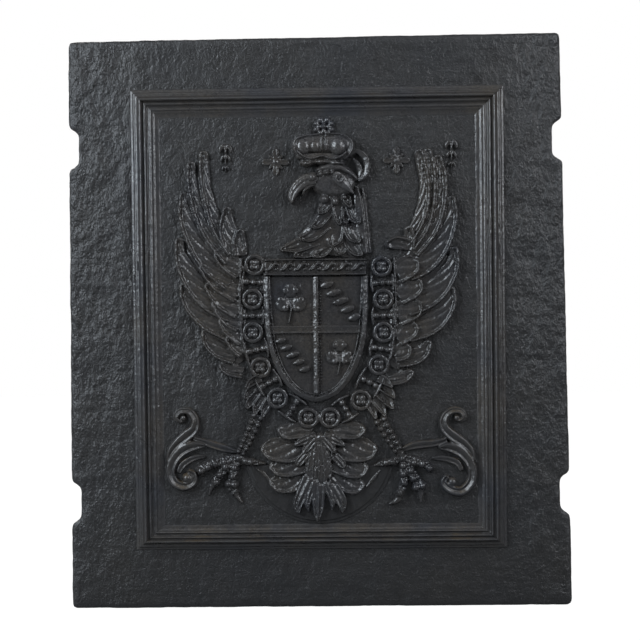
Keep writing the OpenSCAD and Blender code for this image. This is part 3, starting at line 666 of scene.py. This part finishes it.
# -------- wings
# Each wing is carved from lime wood in two layers: long flight feathers, each with a raised
# quill along its outer edge, and over their roots a row of short rounded feathers.
flight_high, short_high, bed_high, seam_high = 8.8, 9.8, 2.2, 6.4
left_primaries = [
    [(-138, 549, 2), (-138, 530, 6), (-136, 505, 6), (-130, 480, 7), (-120, 453, 8),
     (-104, 425, 7)],
    [(-153, 536, 2), (-153, 520, 6), (-150, 497, 6.5), (-143, 473, 7.5), (-130, 446, 8.5),
     (-108, 416, 8)],
    [(-162, 500, 2), (-162, 480, 7), (-157, 458, 9), (-146, 434, 10.5), (-131, 411, 11),
     (-108, 388, 9)],
    [(-168, 445, 2), (-167, 426, 7), (-160, 406, 10), (-148, 386, 12), (-130, 366, 12),
     (-106, 350, 9)],
    [(-164, 391, 2), (-160, 374, 8), (-148, 357, 10.5), (-130, 341, 11), (-106, 327, 9)],
    [(-139, 335, 2), (-134, 321, 8), (-121, 308, 9.5), (-102, 299, 8)],
    [(-121, 294, 2), (-112, 287, 7.5), (-93, 281, 7)]]
right_primaries = [
    [(119, 549, 2), (123, 530, 5.5), (127, 507, 6), (125, 482, 7), (117, 458, 7), (106, 438, 6)],
    [(129, 550, 2), (132, 530, 7), (134, 505, 6.5), (131, 480, 7.5), (123, 455, 8.5),
     (108, 430, 7)],
    [(141, 542, 2), (145, 523, 7), (146, 500, 7.5), (142, 476, 8.5), (132, 451, 9.5),
     (112, 424, 8)],
    [(158, 493, 2), (158, 474, 8), (153, 452, 10), (142, 430, 12), (126, 411, 12), (106, 398, 9)],
    [(161, 432, 2), (160, 414, 8), (152, 395, 11), (138, 377, 12.5), (122, 366, 12),
     (104, 356, 9)],
    [(158, 384, 2), (155, 367, 9), (144, 349, 12), (128, 336, 12.5), (104, 325, 9)],
    [(131, 320, 2), (124, 307, 8.5), (111, 299, 10), (92, 293, 7)],
    [(111, 284, 2), (101, 276, 7.5), (82, 270, 6)]]
left_coverts = [
    [(-110, 482, 2), (-111, 466, 8), (-109, 448, 11), (-104, 427, 10)],
    [(-94, 455, 2), (-96, 440, 8), (-95, 422, 8)],
    [(-126, 430, 3), (-118, 423, 10), (-106, 412, 12), (-95, 400, 9)],
    [(-144, 412, 2), (-134, 402, 8), (-118, 388, 11), (-98, 374, 10)],
    [(-137, 390, 2), (-128, 379, 8), (-113, 366, 11), (-97, 355, 10)],
    [(-129, 368, 2), (-120, 358, 8), (-108, 346, 10), (-96, 338, 9)],
    [(-121, 347, 2), (-112, 337, 8), (-102, 328, 9), (-93, 320, 8)],
    [(-113, 326, 2), (-105, 317, 7), (-93, 305, 8)]]
right_coverts = [
    [(106, 457, 2), (108, 445, 6.5), (109, 430, 6)],
    [(78, 433, 4), (92, 436, 8), (108, 434, 7)],
    [(119, 415, 5), (110, 410, 13), (92, 400, 14)],
    [(122, 392, 5), (112, 385, 14), (93, 374, 14)],
    [(121, 366, 5), (111, 359, 14), (92, 349, 14)],
    [(116, 340, 5), (107, 333, 12.5), (91, 323, 12)],
    [(108, 314, 4), (100, 307, 11), (88, 300, 8)]]
left_bed = [(-138, 520, 8), (-141, 470, 14), (-136, 430, 24), (-126, 390, 34), (-114, 340, 26),
            (-102, 290, 12)]
right_bed = [(128, 520, 8), (134, 470, 14), (132, 430, 22), (122, 390, 34), (108, 335, 26),
             (92, 283, 12)]
left_seam = [(-94, 420, 1.8), (-95.5, 385, 2), (-95.5, 345, 2), (-91, 310, 2), (-83, 286, 1.6)]
right_seam = [(89, 420, 1.6), (90.5, 385, 1.8), (90.5, 345, 1.8), (86, 310, 1.8), (78, 285, 1.4)]


def raised_rim(v, s, d, inset, width, fade):
    """A rim that far inside the outline, along the side where v is over 0 and round the tip; on
    the other side it dies out fade mm from the tip."""
    return hump(d, inset, width) * (1 if v > 0 else max(0.0, 1 - s / fade))


def feather_top(outer):
    """A flight feather: a raised quill at its outer edge, a groove, and slanting barbs."""
    def top(u, t, s, d):
        v = u * outer
        rim = raised_rim(v, s, d, 2.5, 1.8, fade=16)
        barbs = 0.08 * math.cos(10 * v + 0.28 * s) * max(0.0, min(1.0, (0.5 - v) * 3))
        return (0.50 + 0.14 * v + 0.30 * rim * (1 + 0.15 * math.cos(s * 0.75))
                - 0.12 * hump(d, 6, 1.6) * (v > 0) + barbs)
    return top


def scale_top(lower):
    """A short feather: its rim is raised round the tip and one side, its middle dished."""
    def top(u, t, s, d):
        v = u * lower
        rim = raised_rim(v, s, d, 2.5, 1.9, fade=18)
        return (0.54 + 0.16 * v + 0.28 * rim * (1 - 0.4 * t) - 0.10 * hump(d, 6, 1.8)
                + 0.07 * math.cos(9 * v + 0.3 * s) * min(1.0, d / 7) - 0.08 * t)
    return top


for side, primaries, coverts, bed, seam, outer in (
        ("left", left_primaries, left_coverts, left_bed, left_seam, -1),
        ("right", right_primaries, right_coverts, right_bed, right_seam, 1)):
    feathers = [carve(fuller(p, 1.1), flight_high, feather_top(outer), blunt=6.4, edge=1.5,
                      wide=26) for p in primaries]
    feathers.append(carve(bed, bed_high, edge=3, blunt=6, butt=6, wide=12))
    set_on(fuse(feathers, lumps=0.55, soft=3), f"{side}_flight_feathers",
           f"wing_{side}_primaries")
    small = [carve(fuller(p, 1.08), short_high, scale_top(outer), blunt=6.5, edge=1.8, wide=24)
             for p in coverts]
    small.append(carve(seam, seam_high, edge=1.6, blunt=1.6, butt=1.6, wide=8))
    set_on(fuse(small, lumps=0.65, soft=3), f"{side}_short_feathers", f"wing_{side}_coverts")

# -------- neck
# The neck is a tapering roll covered with tufts that lap downwards like tiles, each a leaf
# with a hollow middle; a folded ribbon runs down behind it and curls up under the crown.
roll_high, tuft_high = 5.5, 13.5
band_high, band_fold_high, curl_out_high, curl_in_high = 6.8, 4.4, 9.0, 7.8
neck_body = [(24, 500, 13), (20, 478, 18), (13, 454, 26), (8, 434, 38), (6, 423, 44)]
neck_tufts = [
    [(-2, 471, 2), (4, 477, 6), (13, 488, 7)],
    [(-11, 455, 2), (-1, 460, 6), (10, 474, 7)],
    [(-26, 442, 2), (-10, 445, 7), (8, 460, 8)],
    [(-48, 429, 2), (-28, 433, 7.5), (-4, 443, 9)],
    [(-32, 421, 2), (-14, 426, 7), (2, 438, 9)],
    [(-11, 421, 2), (2, 426, 7), (12, 438, 8)],
    [(13, 431, 3), (18, 443, 9), (21, 458, 8)],
    [(24, 421, 3), (25, 432, 9), (24, 446, 8)],
    [(49, 436, 2), (41, 445, 8), (34, 458, 7)],
    [(50, 459, 2), (43, 467, 7), (37, 480, 6)],
    [(31, 458, 1.5), (32, 467, 4.5), (31, 480, 4)],
    [(25, 457, 1.5), (22, 466, 4.5), (19, 480, 4)],
    [(38, 478, 1.5), (34, 486, 5), (30, 500, 5)],
    [(52, 421, 2), (43, 428, 7), (34, 440, 7)]]


def tuft_top(lower):
    """A tuft: its rim is raised round the tip and along one side, and it sinks at the root."""
    def top(u, t, s, d):
        v = u * lower
        rim = raised_rim(v, s, d, 2.0, 1.5, fade=10)
        return ((0.50 + 0.44 * rim - 0.10 * hump(d, 5, 1.6) + 0.05 * math.cos(11 * v))
                * (1 - 0.45 * t))
    return top


def leaning(u, t, s, d):
    """A ribbon on edge, which falls off to its left."""
    return 0.78 + 0.22 * u


neck = [carve(neck_body, roll_high, edge=9, wide=24)]
for p in neck_tufts:
    lower = -1 if p[-1][0] > p[0][0] else 1
    neck.append(carve(fuller(p, 1.22), tuft_high, tuft_top(lower), blunt=4.2, edge=1.8, wide=18))
set_on(fuse(neck), "neck_plumage", "neck_feathers")
ribbon = [carve([(44, 505, 3), (47, 478, 6), (52, 423, 6.4)], band_high, ridge_right, edge=1.4,
                wide=12),
          carve([(52, 503, 1.5), (55, 478, 3), (60, 424, 3)], band_fold_high, edge=1.6, wide=10),
          carve([(36, 539, 2), (44, 546, 3.6), (54, 540, 4.2), (57.5, 529, 4.2), (55, 517, 3.8),
                 (45, 510, 2.4)], curl_out_high, leaning, edge=1.8, blunt=2, butt=2),
          carve([(40, 538, 1.6), (46, 531, 3.4), (49, 522, 3.6), (46, 512, 1.6)], curl_in_high,
                leaning, edge=1.8, blunt=1.6, butt=2)]
set_on(fuse(ribbon, lumps=0.25), "nape_ribbon_cast", "nape_ribbon")

# -------- head
# The head is the highest part: a rounded skull under a heavy brow, a deep hooked beak of two
# halves with a swelling at its root, and an almond eye with raised lids. What stands this
# high is painted paler than the rest, as painted light.
skull_high, brow_high, upper_beak_high, lower_beak_high, lids_high = 11.5, 10.2, 13.5, 11.5, 17.0
eye_x, eye_z, eye_r = 24.5, 512.8, 4.2
fine_cell = min(cell, 0.6)
# the head and the crown are painted paler still than the other ornaments, as painted light on the
# highest parts
painted_lit_iron = iron("painted_lit_iron", peel=0.5, rough=0.25, tone_and_painted_light=4.4, rust=0.35)


def beak_top(u, t, s, d):
    """The upper half of the beak, with the gape as a groove along its middle."""
    return (1 - 0.26 * max(0, u - 0.05) - 0.16 * hump(u, -0.12, 0.14)
            - 0.10 * max(0, -u - 0.45) + 0.05 * hump(u, 0.62, 0.12))


def lid_top(u, t, s, d):
    return 1.0 - 0.24 * abs(u)


skull = [carve([(-10, 509, 8), (4, 508, 15), (20, 507, 17), (34, 505, 14), (43, 502, 8)],
               skull_high, edge=10, blunt=9, butt=6, wide=22),
         carve([(-4, 523, 3), (10, 527, 6), (26, 526, 6), (40, 518, 4), (47, 510, 2)],
               brow_high, edge=5, blunt=2, butt=1.5, wide=12)]
skull += [knob(*boss) for boss in (
    (6, 489, 6, 11.5), (19, 486, 6, 11.5), (30, 491, 4.5, 12), (-8, 514.5, 7.6, 17.5),
    (2, 518.5, 4.4, 16.5), (9, 520, 4.2, 16.5), (16, 520.5, 3.4, 16))]
set_on(fuse(skull, lumps=0.3), "head_cast", "eagle_head", painted_lit_iron)
beak = [carve([(-32.7, 483, 1), (-33, 492, 5.2), (-27, 503, 7.2), (-16.5, 511.5, 7.8),
               (-4, 513, 7.5)], upper_beak_high, beak_top, edge=1.6, blunt=1.4, wide=26),
        carve([(-21, 493, 0.8), (-17, 500, 2.6), (-10, 505, 3), (-2, 507, 3)], lower_beak_high,
              edge=1.6, blunt=1, wide=12)]
set_on(fuse(beak, lumps=0.25), "beak_cast", "eagle_beak", painted_lit_iron)
lids = [carve([(42, 494, 1.2), (35, 502, 5), (27, 510, 8), (21, 517, 6.4), (17.5, 522, 2)],
              lids_high, lid_top, edge=1.3, blunt=1, butt=1.5, wide=18),
        knob(eye_x, eye_z, 2.2, 19),
        hoop(eye_x, eye_z, eye_r, 1.3, lift=16.8, around=32, thick=10)]
set_on(fuse(lids, lumps=0.15, size=fine_cell, soft=1), "eye_cast", "eagle_eye", painted_lit_iron)

# -------- crown
# A closed crown: a band of two rolls with three lumps, a cap between two arches with three
# pearls on it, and a cross of four spreading arms on top, all carved or turned.
upper_roll_high, lower_roll_high, band_bed_high, band_lump_high = 14.5, 11.0, 9.4, 14
left_arch_high, right_arch_high, rib_high, cap_high = 11.0, 11.5, 13.0, 10.8
pearls = [(-19, 552, 9.5), (-4.5, 552, 7.0), (23, 552, 10.5)]
cross_x, cross_mid = 6, 576


def arch_top(u, t, s, d):
    return 0.8 + 0.25 * hump(u, -0.5, 0.4)


band = [carve([(-27, 548, 2), (-20, 541, 2.6), (-9, 537.5, 2.8), (2, 540, 2.4), (6, 540, 2.4),
               (16, 537, 2.8), (27, 540, 2.6), (35, 547, 2)], upper_roll_high, edge=2.0,
              blunt=2, butt=2, wide=10),
        carve([(-24, 532, 3), (5, 534, 3.6), (32, 531, 3)], lower_roll_high, edge=3, blunt=2.6,
              butt=2.6, wide=12),
        carve([(-28, 541, 5), (5, 540, 6), (36, 540, 5)], band_bed_high, edge=3, blunt=4,
              butt=4, wide=12)]
band += [knob(x, z, 7.4, band_lump_high, across=3.8)
         for x, z in ((-15, 531.5), (2, 533.5), (19, 532))]
set_on(fuse(band, lumps=0.4), "crown_band_cast", "crown_band", painted_lit_iron)
arches = [carve([(-24, 541, 1.6), (-29, 549, 2.6), (-29, 558, 2.6), (-20, 564, 2.2),
                 (6, 567, 2.2)], left_arch_high, edge=1.8, blunt=1.6, butt=2, wide=10),
          carve([(31, 538, 2), (37, 546, 4), (38, 556, 4), (31, 563, 3), (22, 566, 2.2),
                 (6, 567, 2.2)], right_arch_high, arch_top, edge=2.0, blunt=2, butt=2),
          carve([(3, 546, 1.6), (3.2, 554, 2), (4.4, 564, 1.6)], rib_high, edge=1.4, wide=8),
          carve([(9, 546, 1.6), (9, 554, 2), (7.8, 564, 1.6)], rib_high, edge=1.4, wide=8),
          carve([(-31, 553, 7), (-16, 554.5, 12), (5, 555, 12.5), (26, 554.5, 12),
                 (39, 553, 7)], cap_high, edge=6, blunt=9, butt=9, wide=24)]
set_on(fuse(arches), "crown_arches_cast", "crown_arches", painted_lit_iron)
balls = [knob(x, z, r, 0.55 * r + 2.8, lift=6.5, across=1.1 * r) for x, z, r in pearls]
set_on(fuse(balls, lumps=0.2), "crown_pearls_cast", "crown_pearls", painted_lit_iron)
cross = [knob(cross_x, cross_mid, 3.4, 7.0)]
for turn in (0, 90, 180, 270):
    a = math.radians(turn)
    for b in (a - 0.42, a + 0.42):
        cross.append(knob(cross_x + 9.8 * math.cos(b), cross_mid + 8.8 * math.sin(b), 3.9, 5.8))
    cross.append(knob(cross_x + 6 * math.cos(a), cross_mid + 5.6 * math.sin(a), 3.4, 5.6))
set_on(fuse(cross, lumps=0.15), "crown_cross_cast", "crown_cross", painted_lit_iron)

# -------- legs
# Thighs of hanging feathers, shanks and toes strung with two rows of round scales, and long
# smooth claws; the toes close round the stems of the two scrolls.
thigh_high, bone_high, scale_high = 9.0, 4.5, 9.6
toe_high, toe_scale_high = 5.5, 8.0
knuckle_r, knuckle_high = 5.6, 10.8
thighs = {
    "left": [[(-70, 227, 1), (-67, 238, 5.5), (-60, 250, 6)],
             [(-80, 230, 1), (-76, 241, 6), (-66, 254, 7)],
             [(-90, 238, 1), (-84, 247, 6), (-72, 258, 7)],
             [(-92, 250, 1), (-86, 258, 5.5), (-74, 266, 6)],
             [(-90, 262, 1), (-84, 270, 5), (-72, 276, 6)]],
    "right": [[(66, 224, 1), (63, 235, 5.5), (57, 247, 6)],
              [(77, 227, 1), (73, 238, 6), (64, 251, 7)],
              [(87, 236, 1), (81, 246, 6), (70, 257, 7)],
              [(89, 249, 1), (83, 257, 5.5), (72, 265, 6)],
              [(86, 262, 1), (80, 269, 5), (69, 275, 6)]]}
shank_left = [(-75, 232, 8), (-86, 206, 7), (-98, 183, 5.5)]
shank_right = [(70, 226, 8), (83, 202, 7), (96, 182, 5.5)]
toes_left = [
    [(-141, 158, 1.2), (-146, 166, 4), (-137, 170, 5), (-124, 175, 5), (-102, 180, 4.5)],
    [(-135, 135, 1.2), (-132, 145, 3), (-126, 153, 4.5), (-117, 165, 5), (-101, 179, 4.5)],
    [(-94, 125, 1.2), (-101, 134, 3), (-107, 145, 5.5), (-106, 158, 5), (-100, 178, 4.5)],
    [(-66, 173, 1.2), (-76, 174, 3), (-90, 175, 4), (-98, 180, 4.5)]]
toes_right = [
    [(62, 169, 1.2), (72, 172, 3.5), (84, 174, 4), (96, 178, 4.5)],
    [(80, 123, 1.2), (91, 128, 3.5), (95, 138, 4), (99, 152, 4.5), (97, 176, 4.5)],
    [(119, 124, 1.2), (119, 134, 3.5), (117, 145, 6), (110, 158, 5), (98, 176, 4.5)],
    [(133, 160, 1.2), (130, 167, 4), (121, 172, 4.5), (98, 179, 4.5)]]
knuckles_left = [(-144, 165), (-136, 169), (-127, 173), (-116, 175), (-126, 151), (-122, 160),
                 (-115, 169), (-111, 149), (-104, 148), (-106, 158), (-104, 168), (-84, 175),
                 (-91, 176), (-99, 180)]
knuckles_right = [(77, 173), (85, 174), (94, 137), (99, 149), (98, 159), (98, 169), (113, 143),
                  (121, 145), (110, 154), (107, 163), (130, 166), (121, 171), (111, 173),
                  (97, 178)]


def beads_along(points, pitch, row, r, h, start, stop):
    """Two rows of round scales along a stroke, from start to stop of its length; pitch, row
    and r are shares of its half width there."""
    line = smooth_line(points, 12)
    runs = lengths_along(line)
    beads = []
    s = runs[-1] * start
    while s < runs[-1] * stop:
        j = next(i for i in range(len(runs) - 1) if runs[i + 1] >= s)
        a, b = line[j], line[j + 1]
        f = (s - runs[j]) / (runs[j + 1] - runs[j])
        x, z, w = (a[n] + (b[n] - a[n]) * f for n in range(3))
        size = math.hypot(b[0] - a[0], b[1] - a[1])
        sx, sz = -(b[1] - a[1]) / size, (b[0] - a[0]) / size
        for shift in (-row * w, row * w):
            beads.append(knob(x + sx * shift, z + sz * shift, r * w, h))
        s += pitch * w
    return beads


for side, shank, toes, knuckles in (("left", shank_left, toes_left, knuckles_left),
                                    ("right", shank_right, toes_right, knuckles_right)):
    tufts = [carve(fuller(p, 1.1), thigh_high + n, tuft_top(1), blunt=3.4, edge=1.8, wide=16)
             for n, p in enumerate(thighs[side])]
    set_on(fuse(tufts), f"{side}_thigh_plumage", f"thigh_{side}")
    bone = [carve(shank, bone_high, edge=3.5)]
    bone += beads_along(shank, 1.1, 0.56, 0.58, scale_high, start=0.06, stop=0.95)
    set_on(fuse(bone, lumps=0.15), f"{side}_shank", f"leg_{side}")
    toes = [fuller(p, 1.2) for p in toes]
    foot = [carve(p, toe_high, blunt=1.2, wide=12) for p in toes]
    for p in toes:
        foot += beads_along(p, 1.0, 0.5, 0.56, toe_scale_high, start=0.30, stop=0.95)
    foot += [knob(x, z, knuckle_r, knuckle_high) for x, z in knuckles]
    set_on(fuse(foot, lumps=0.15), f"{side}_talons", f"claw_{side}")

# -------- tail
# The tail hangs below the collar: broad rounded lobes in four pairs with two thin stems, and
# a plume of short and long pointed leaves down the middle; behind lies a low stepped disc.
lobe_high, lobe_step, stem_high = 9.0, 0.5, 4.5
strand_high, thin_strand_high = 10.0, 8.4
disc_x, disc_z = -2, 191
disc_steps = [(91, 1.2), (87, 2.5)]
tail_leaves = [
    [(-52, 216, 3), (-42, 212, 10), (-26, 212, 10), (-12, 208, 8)],
    [(-73, 192, 4), (-60, 190, 13), (-38, 189, 15), (-14, 192, 11)],
    [(-63, 170, 4), (-52, 169, 11), (-36, 169, 12), (-9, 175, 10)],
    [(-63, 152, 4), (-52, 150, 11), (-36, 150, 12), (-9, 161, 10)],
    [(54, 214, 3), (43, 212, 10), (26, 211, 10), (10, 207, 8)],
    [(68, 191, 4), (56, 189, 13), (36, 189, 15), (12, 191, 11)],
    [(57, 169, 4), (48, 167, 11), (34, 167, 12), (5, 176, 10)],
    [(52, 149, 4), (44, 147, 10), (32, 148, 11.5), (5, 161, 10)]]
tail_stems = [
    [(-79, 167, 1), (-68, 160, 3), (-57, 146, 2)],
    [(71, 165, 1), (63, 155, 3), (54, 144, 2)]]
plume_leaves = [
    [(-26, 111, 1), (-28, 125, 7), (-13, 155, 11)],
    [(25, 112, 1), (24, 127, 7.5), (14, 146, 8)],
    [(-15, 114, 1), (-17, 128, 5), (-10, 150, 7)],
    [(12, 116, 1), (13, 130, 5), (6, 150, 7)],
    [(-5, 102, 1), (-4, 120, 8), (-3, 148, 9)],
    [(-29, 169, 2), (-26, 175, 6), (-18, 184, 6)],
    [(28, 166, 2), (25, 172, 6), (16, 182, 6)],
    [(-33, 194, 2), (-22, 200, 6), (-6, 206, 6)],
    [(29, 193, 2), (18, 200, 6), (3, 206, 6)],
    [(-22, 184, 2), (-16, 193, 6), (-6, 204, 5)],
    [(17, 184, 2), (12, 193, 6), (2, 204, 5)],
    [(-17, 148, 1), (-16, 168, 4.6), (-9, 198, 4.4)],
    [(11, 148, 1), (9, 168, 4.6), (4, 198, 4.4)],
    [(-10, 140, 1), (-10, 165, 4.6), (-6, 200, 4)],
    [(4, 140, 1), (4, 165, 4.6), (0, 200, 4)],
    [(-3, 132, 1), (-3, 160, 5), (-3, 200, 4)]]


def lobe_top(lower):
    """A lobe laps over the next one down: it stands high along its lower edge and its tip."""
    def top(u, t, s, d):
        v = u * lower
        rim = raised_rim(v, s, d, 2.4, 1.9, fade=14)
        return (0.60 + 0.26 * v + 0.20 * rim - 0.08 * hump(d, 6, 2) - 0.10 * t
                + 0.10 * math.cos(9 * v + 0.25 * s) * min(1.0, d / 8))
    return top


lobes = []
for n, p in enumerate(tail_leaves):
    lower = 1 if n >= 4 else -1
    lobes.append(carve(fuller(p, 1.08), lobe_high - lobe_step * (n % 4), lobe_top(lower),
                       blunt=8, edge=1.8, wide=26))
lobes += [carve(p, stem_high, edge=1.5, blunt=1.2, wide=8) for p in tail_stems]
set_on(fuse(lobes), "tail_lobes_cast", "tail_lobes")


def strands_top(u, t, s, d):
    """Three strands side by side, which run together towards the root."""
    return 0.86 + 0.14 * math.cos(u * 2.8 * math.pi) * (1 - 0.4 * t) - 0.16 * u * u


plume = [carve(p, thin_strand_high if n > 10 else strand_high, strands_top, blunt=2.0, edge=1.8,
               wide=26) for n, p in enumerate(plume_leaves)]
plume += [knob(-14, 205, 6.6, 9), knob(-1, 203.5, 6.6, 9.4), knob(12, 205, 6.6, 9)]
set_on(fuse(plume), "tail_plume_cast", "tail_plume")
steps = [slab([round_from(disc_x, disc_z, radius, math.radians(a)) for a in range(-167, -12, 3)],
              -sunk, high, rim=0.5) for radius, high in disc_steps]
# the low disc is painted as dark as the board, as painted shade against the paler ornaments
set_on(fuse(steps, lumps=0.2), "tail_disc_cast", "tail_disc",
       iron("disc_iron", peel=0.3, rough=0.42, tone_and_painted_light=0.5))

# -------- scrolls
# Two leafy stems curl outwards from the claws. Each winds up at its foot round a small
# boss, opens in two curled leaves, and ends at the top in a smaller curl.
strip_highs = (7.6, 7.8, 5.0, 4.6)
scroll_left_strips = [
    [(-166, 222, 1.5), (-174, 228, 3.5), (-169, 236, 4), (-158, 236, 4.5), (-151, 226, 5),
     (-152, 215, 6), (-161, 207, 7.5), (-172, 198, 6), (-180, 188, 5), (-184, 174, 2)],
    [(-138, 195, 2), (-151, 195, 6), (-165, 190, 7), (-176, 179, 6.5), (-181, 164, 6),
     (-176, 151, 6), (-164, 146, 5.5), (-153, 151, 4.5), (-153, 161, 4), (-161, 165, 3)],
    [(-99, 187, 2), (-118, 192, 5), (-140, 199, 4.5), (-154, 204, 3)],
    [(-138, 182, 2), (-153, 180, 4), (-166, 172, 4.5), (-172, 161, 3)]]
scroll_right_strips = [
    [(164, 221, 1.5), (172, 226, 3.5), (167, 234, 4), (156, 234, 4.5), (148, 226, 5),
     (148, 214, 6), (158, 204, 7), (170, 196, 6), (179, 186, 5), (183, 173, 2)],
    [(140, 190, 2), (152, 191, 6), (164, 187, 7), (175, 177, 6.5), (181, 163, 6), (179, 148, 6),
     (168, 138, 6), (154, 140, 5.5), (146, 149, 4.5), (152, 158, 3)],
    [(94, 187, 2), (112, 193, 5), (138, 196, 4.5), (152, 201, 3)],
    [(132, 178, 2), (149, 177, 4), (163, 172, 4.5), (169, 161, 3)]]
scroll_left_eyes = [(-161, 156, 6.5), (-165, 228, 4.5)]
scroll_right_eyes = [(157, 149, 6), (163, 226, 4.5)]


def leaf_top(outer):
    """A curled leaf: a broad ridge on its outer side, a groove and a thin inner rim."""
    def top(u, t, s, d):
        v = u * outer
        return (0.72 + 0.26 * hump(v, 0.5, 0.42) - 0.16 * hump(v, -0.3, 0.2)
                + 0.12 * hump(v, -0.75, 0.25))
    return top


for side, strips, eyes, outer in (("left", scroll_left_strips, scroll_left_eyes, -1),
                                  ("right", scroll_right_strips, scroll_right_eyes, 1)):
    parts = [carve(p, high, leaf_top(outer), edge=1.8, blunt=2, butt=2, wide=22)
             for p, high in zip(strips, strip_highs)]
    parts += [knob(x, z, r, 1.3 * r) for x, z, r in eyes]
    # the scrolls' black is painted paler than the board's, as painted light on the raised relief
    set_on(fuse(parts, lumps=0.25), f"{side}_scroll", f"scroll_{side}",
           iron(f"{side}_scroll_iron", peel=0.3, rough=0.33, tone_and_painted_light=2.6, rust=1.2))

# -------- field marks
# Four small low ornaments stand in the field above the wings: a drop of three husks and a
# flower of four broad and four narrow petals on each side, each stamped and laid on.
drop_places = [("left", -112, 534), ("right", 159, 537)]
flower_places = [("left", -52, 534), ("right", 93, 535)]
husk_high, petal_rise = 3.6, 3.7


def cupped(u, t, s, d):
    """A petal, hollow along its middle."""
    return 0.7 + 0.35 * abs(u)


for side, x, z in drop_places:
    drop = []
    for i in range(3):
        size = 1 - 0.22 * i
        high = z + 20 - i * 12.5
        for turn in (-1, 1):
            drop.append(carve([(x + turn * 6.5 * size, high - 9 * size, 0.6),
                               (x + turn * 5.5 * size, high - 3 * size, 3 * size),
                               (x, high + 2 * size, 2.5 * size)],
                              husk_high, blunt=1.2, butt=1.5, edge=1.2, wide=8))
        drop.append(carve([(x, high - 13 * size, 0.6), (x, high, 2.6 * size)],
                          husk_high, blunt=1, butt=1.5, edge=1.2, wide=8))
    set_on(fuse(drop, lumps=0.15, size=fine_cell), f"{side}_husk_drop", f"drop_{side}")
for side, x, z in flower_places:
    flower = [knob(x, z, 3.6, 4.8)]
    for n in range(8):
        a = math.radians(90 + 45 * n)
        reach, half = (17, 4.6) if n % 2 == 0 else (12, 2)
        flower.append(carve([(*round_from(x, z, reach, a), 0.6),
                             (*round_from(x, z, 0.7 * reach, a), half),
                             (*round_from(x, z, 2, a), 1.6)],
                            petal_rise, cupped, blunt=1.2, edge=1.3, wide=10))
    set_on(fuse(flower, lumps=0.15, size=fine_cell), f"{side}_field_flower", f"flower_{side}")

# -------- studio
# The plate stands on a white floor before a white ground. Two soft windows stand at its own
# height on the left and the right, with a faint light overhead and a window behind, and a
# long lens sees it square on.
floor_grey = 0.3
floor_shine = 1.25
floor_share = 0.8
room_tint = (0.94, 0.95, 1.0)
room_light = 0.14
aim = (0, 0, 0.75)
lens_mm = 100
camera_place = (-0.00024, face_y - 2.133, 0.3444)
camera_turn = 0.457


def white_to_camera(tree, lit, shown, share, output):
    """Shows the camera something whiter than what lights the plate."""
    path = tree.nodes.new("ShaderNodeLightPath")
    part = tree.nodes.new("ShaderNodeMath")
    part.operation = "MULTIPLY"
    part.inputs[1].default_value = share
    blend = tree.nodes.new("ShaderNodeMixShader")
    tree.links.new(path.outputs["Is Camera Ray"], part.inputs[0])
    for n, source in enumerate((part, lit, shown)):
        tree.links.new(source.outputs[0], blend.inputs[n])
    tree.links.new(blend.outputs[0], tree.nodes[output].inputs["Surface"])


deselect_all()
bpy.ops.mesh.primitive_plane_add(size=12, location=(0, 0, 0))
floor = bpy.context.object
floor.name = "studio_floor"
paint = bpy.data.materials.new("studio_floor_white")
paint.use_nodes = True
shader = paint.node_tree.nodes["Principled BSDF"]
shader.inputs["Base Color"].default_value = (floor_grey, floor_grey, floor_grey, 1)
shader.inputs["Roughness"].default_value = 0.9
glow = paint.node_tree.nodes.new("ShaderNodeEmission")
glow.inputs["Strength"].default_value = floor_shine
white_to_camera(paint.node_tree, shader, glow, floor_share, "Material Output")
floor.data.materials.append(paint)

world = bpy.data.worlds.new("studio_world")
bpy.context.scene.world = world
world.use_nodes = True
room = world.node_tree.nodes["Background"]
room.inputs["Color"].default_value = (*room_tint, 1)
room.inputs["Strength"].default_value = room_light
ground = world.node_tree.nodes.new("ShaderNodeBackground")
ground.inputs["Color"].default_value = (1, 1, 1, 1)
white_to_camera(world.node_tree, room, ground, 1.0, "World Output")


def window(name, place, wide, high, power, colour):
    light = bpy.data.lights.new(name, "AREA")
    light.shape = "RECTANGLE"
    light.size, light.size_y = wide, high
    light.energy = power
    light.color = colour
    lamp = bpy.data.objects.new(name, light)
    lamp.location = place
    lamp.rotation_euler = (Vector(aim) - Vector(place)).to_track_quat("-Z", "Y").to_euler()
    lamp.visible_camera = False
    bpy.context.scene.collection.objects.link(lamp)


window("left_window", (-1.22, -0.92, 1.15), 0.6, 1.4, 40, (0.84, 0.92, 1.0))
window("right_window", (1.27, -0.92, 1.20), 0.5, 1.4, 25, (0.90, 0.94, 1.0))
window("roof_light", (0.1, -0.9, 2.4), 1.2, 0.6, 3, (0.95, 0.97, 1.0))
window("back_window", (-0.8, 1.5, 1.2), 0.9, 1.2, 30, (1.0, 0.98, 0.96))

lens = bpy.data.cameras.new("studio_camera")
lens.lens = lens_mm
lens.sensor_width = 36
camera = bpy.data.objects.new("studio_camera", lens)
camera.location = camera_place
camera.rotation_euler = (math.pi / 2, math.radians(camera_turn), 0)
bpy.context.scene.collection.objects.link(camera)
bpy.context.scene.camera = camera
bpy.context.scene.view_settings.view_transform = "Standard"
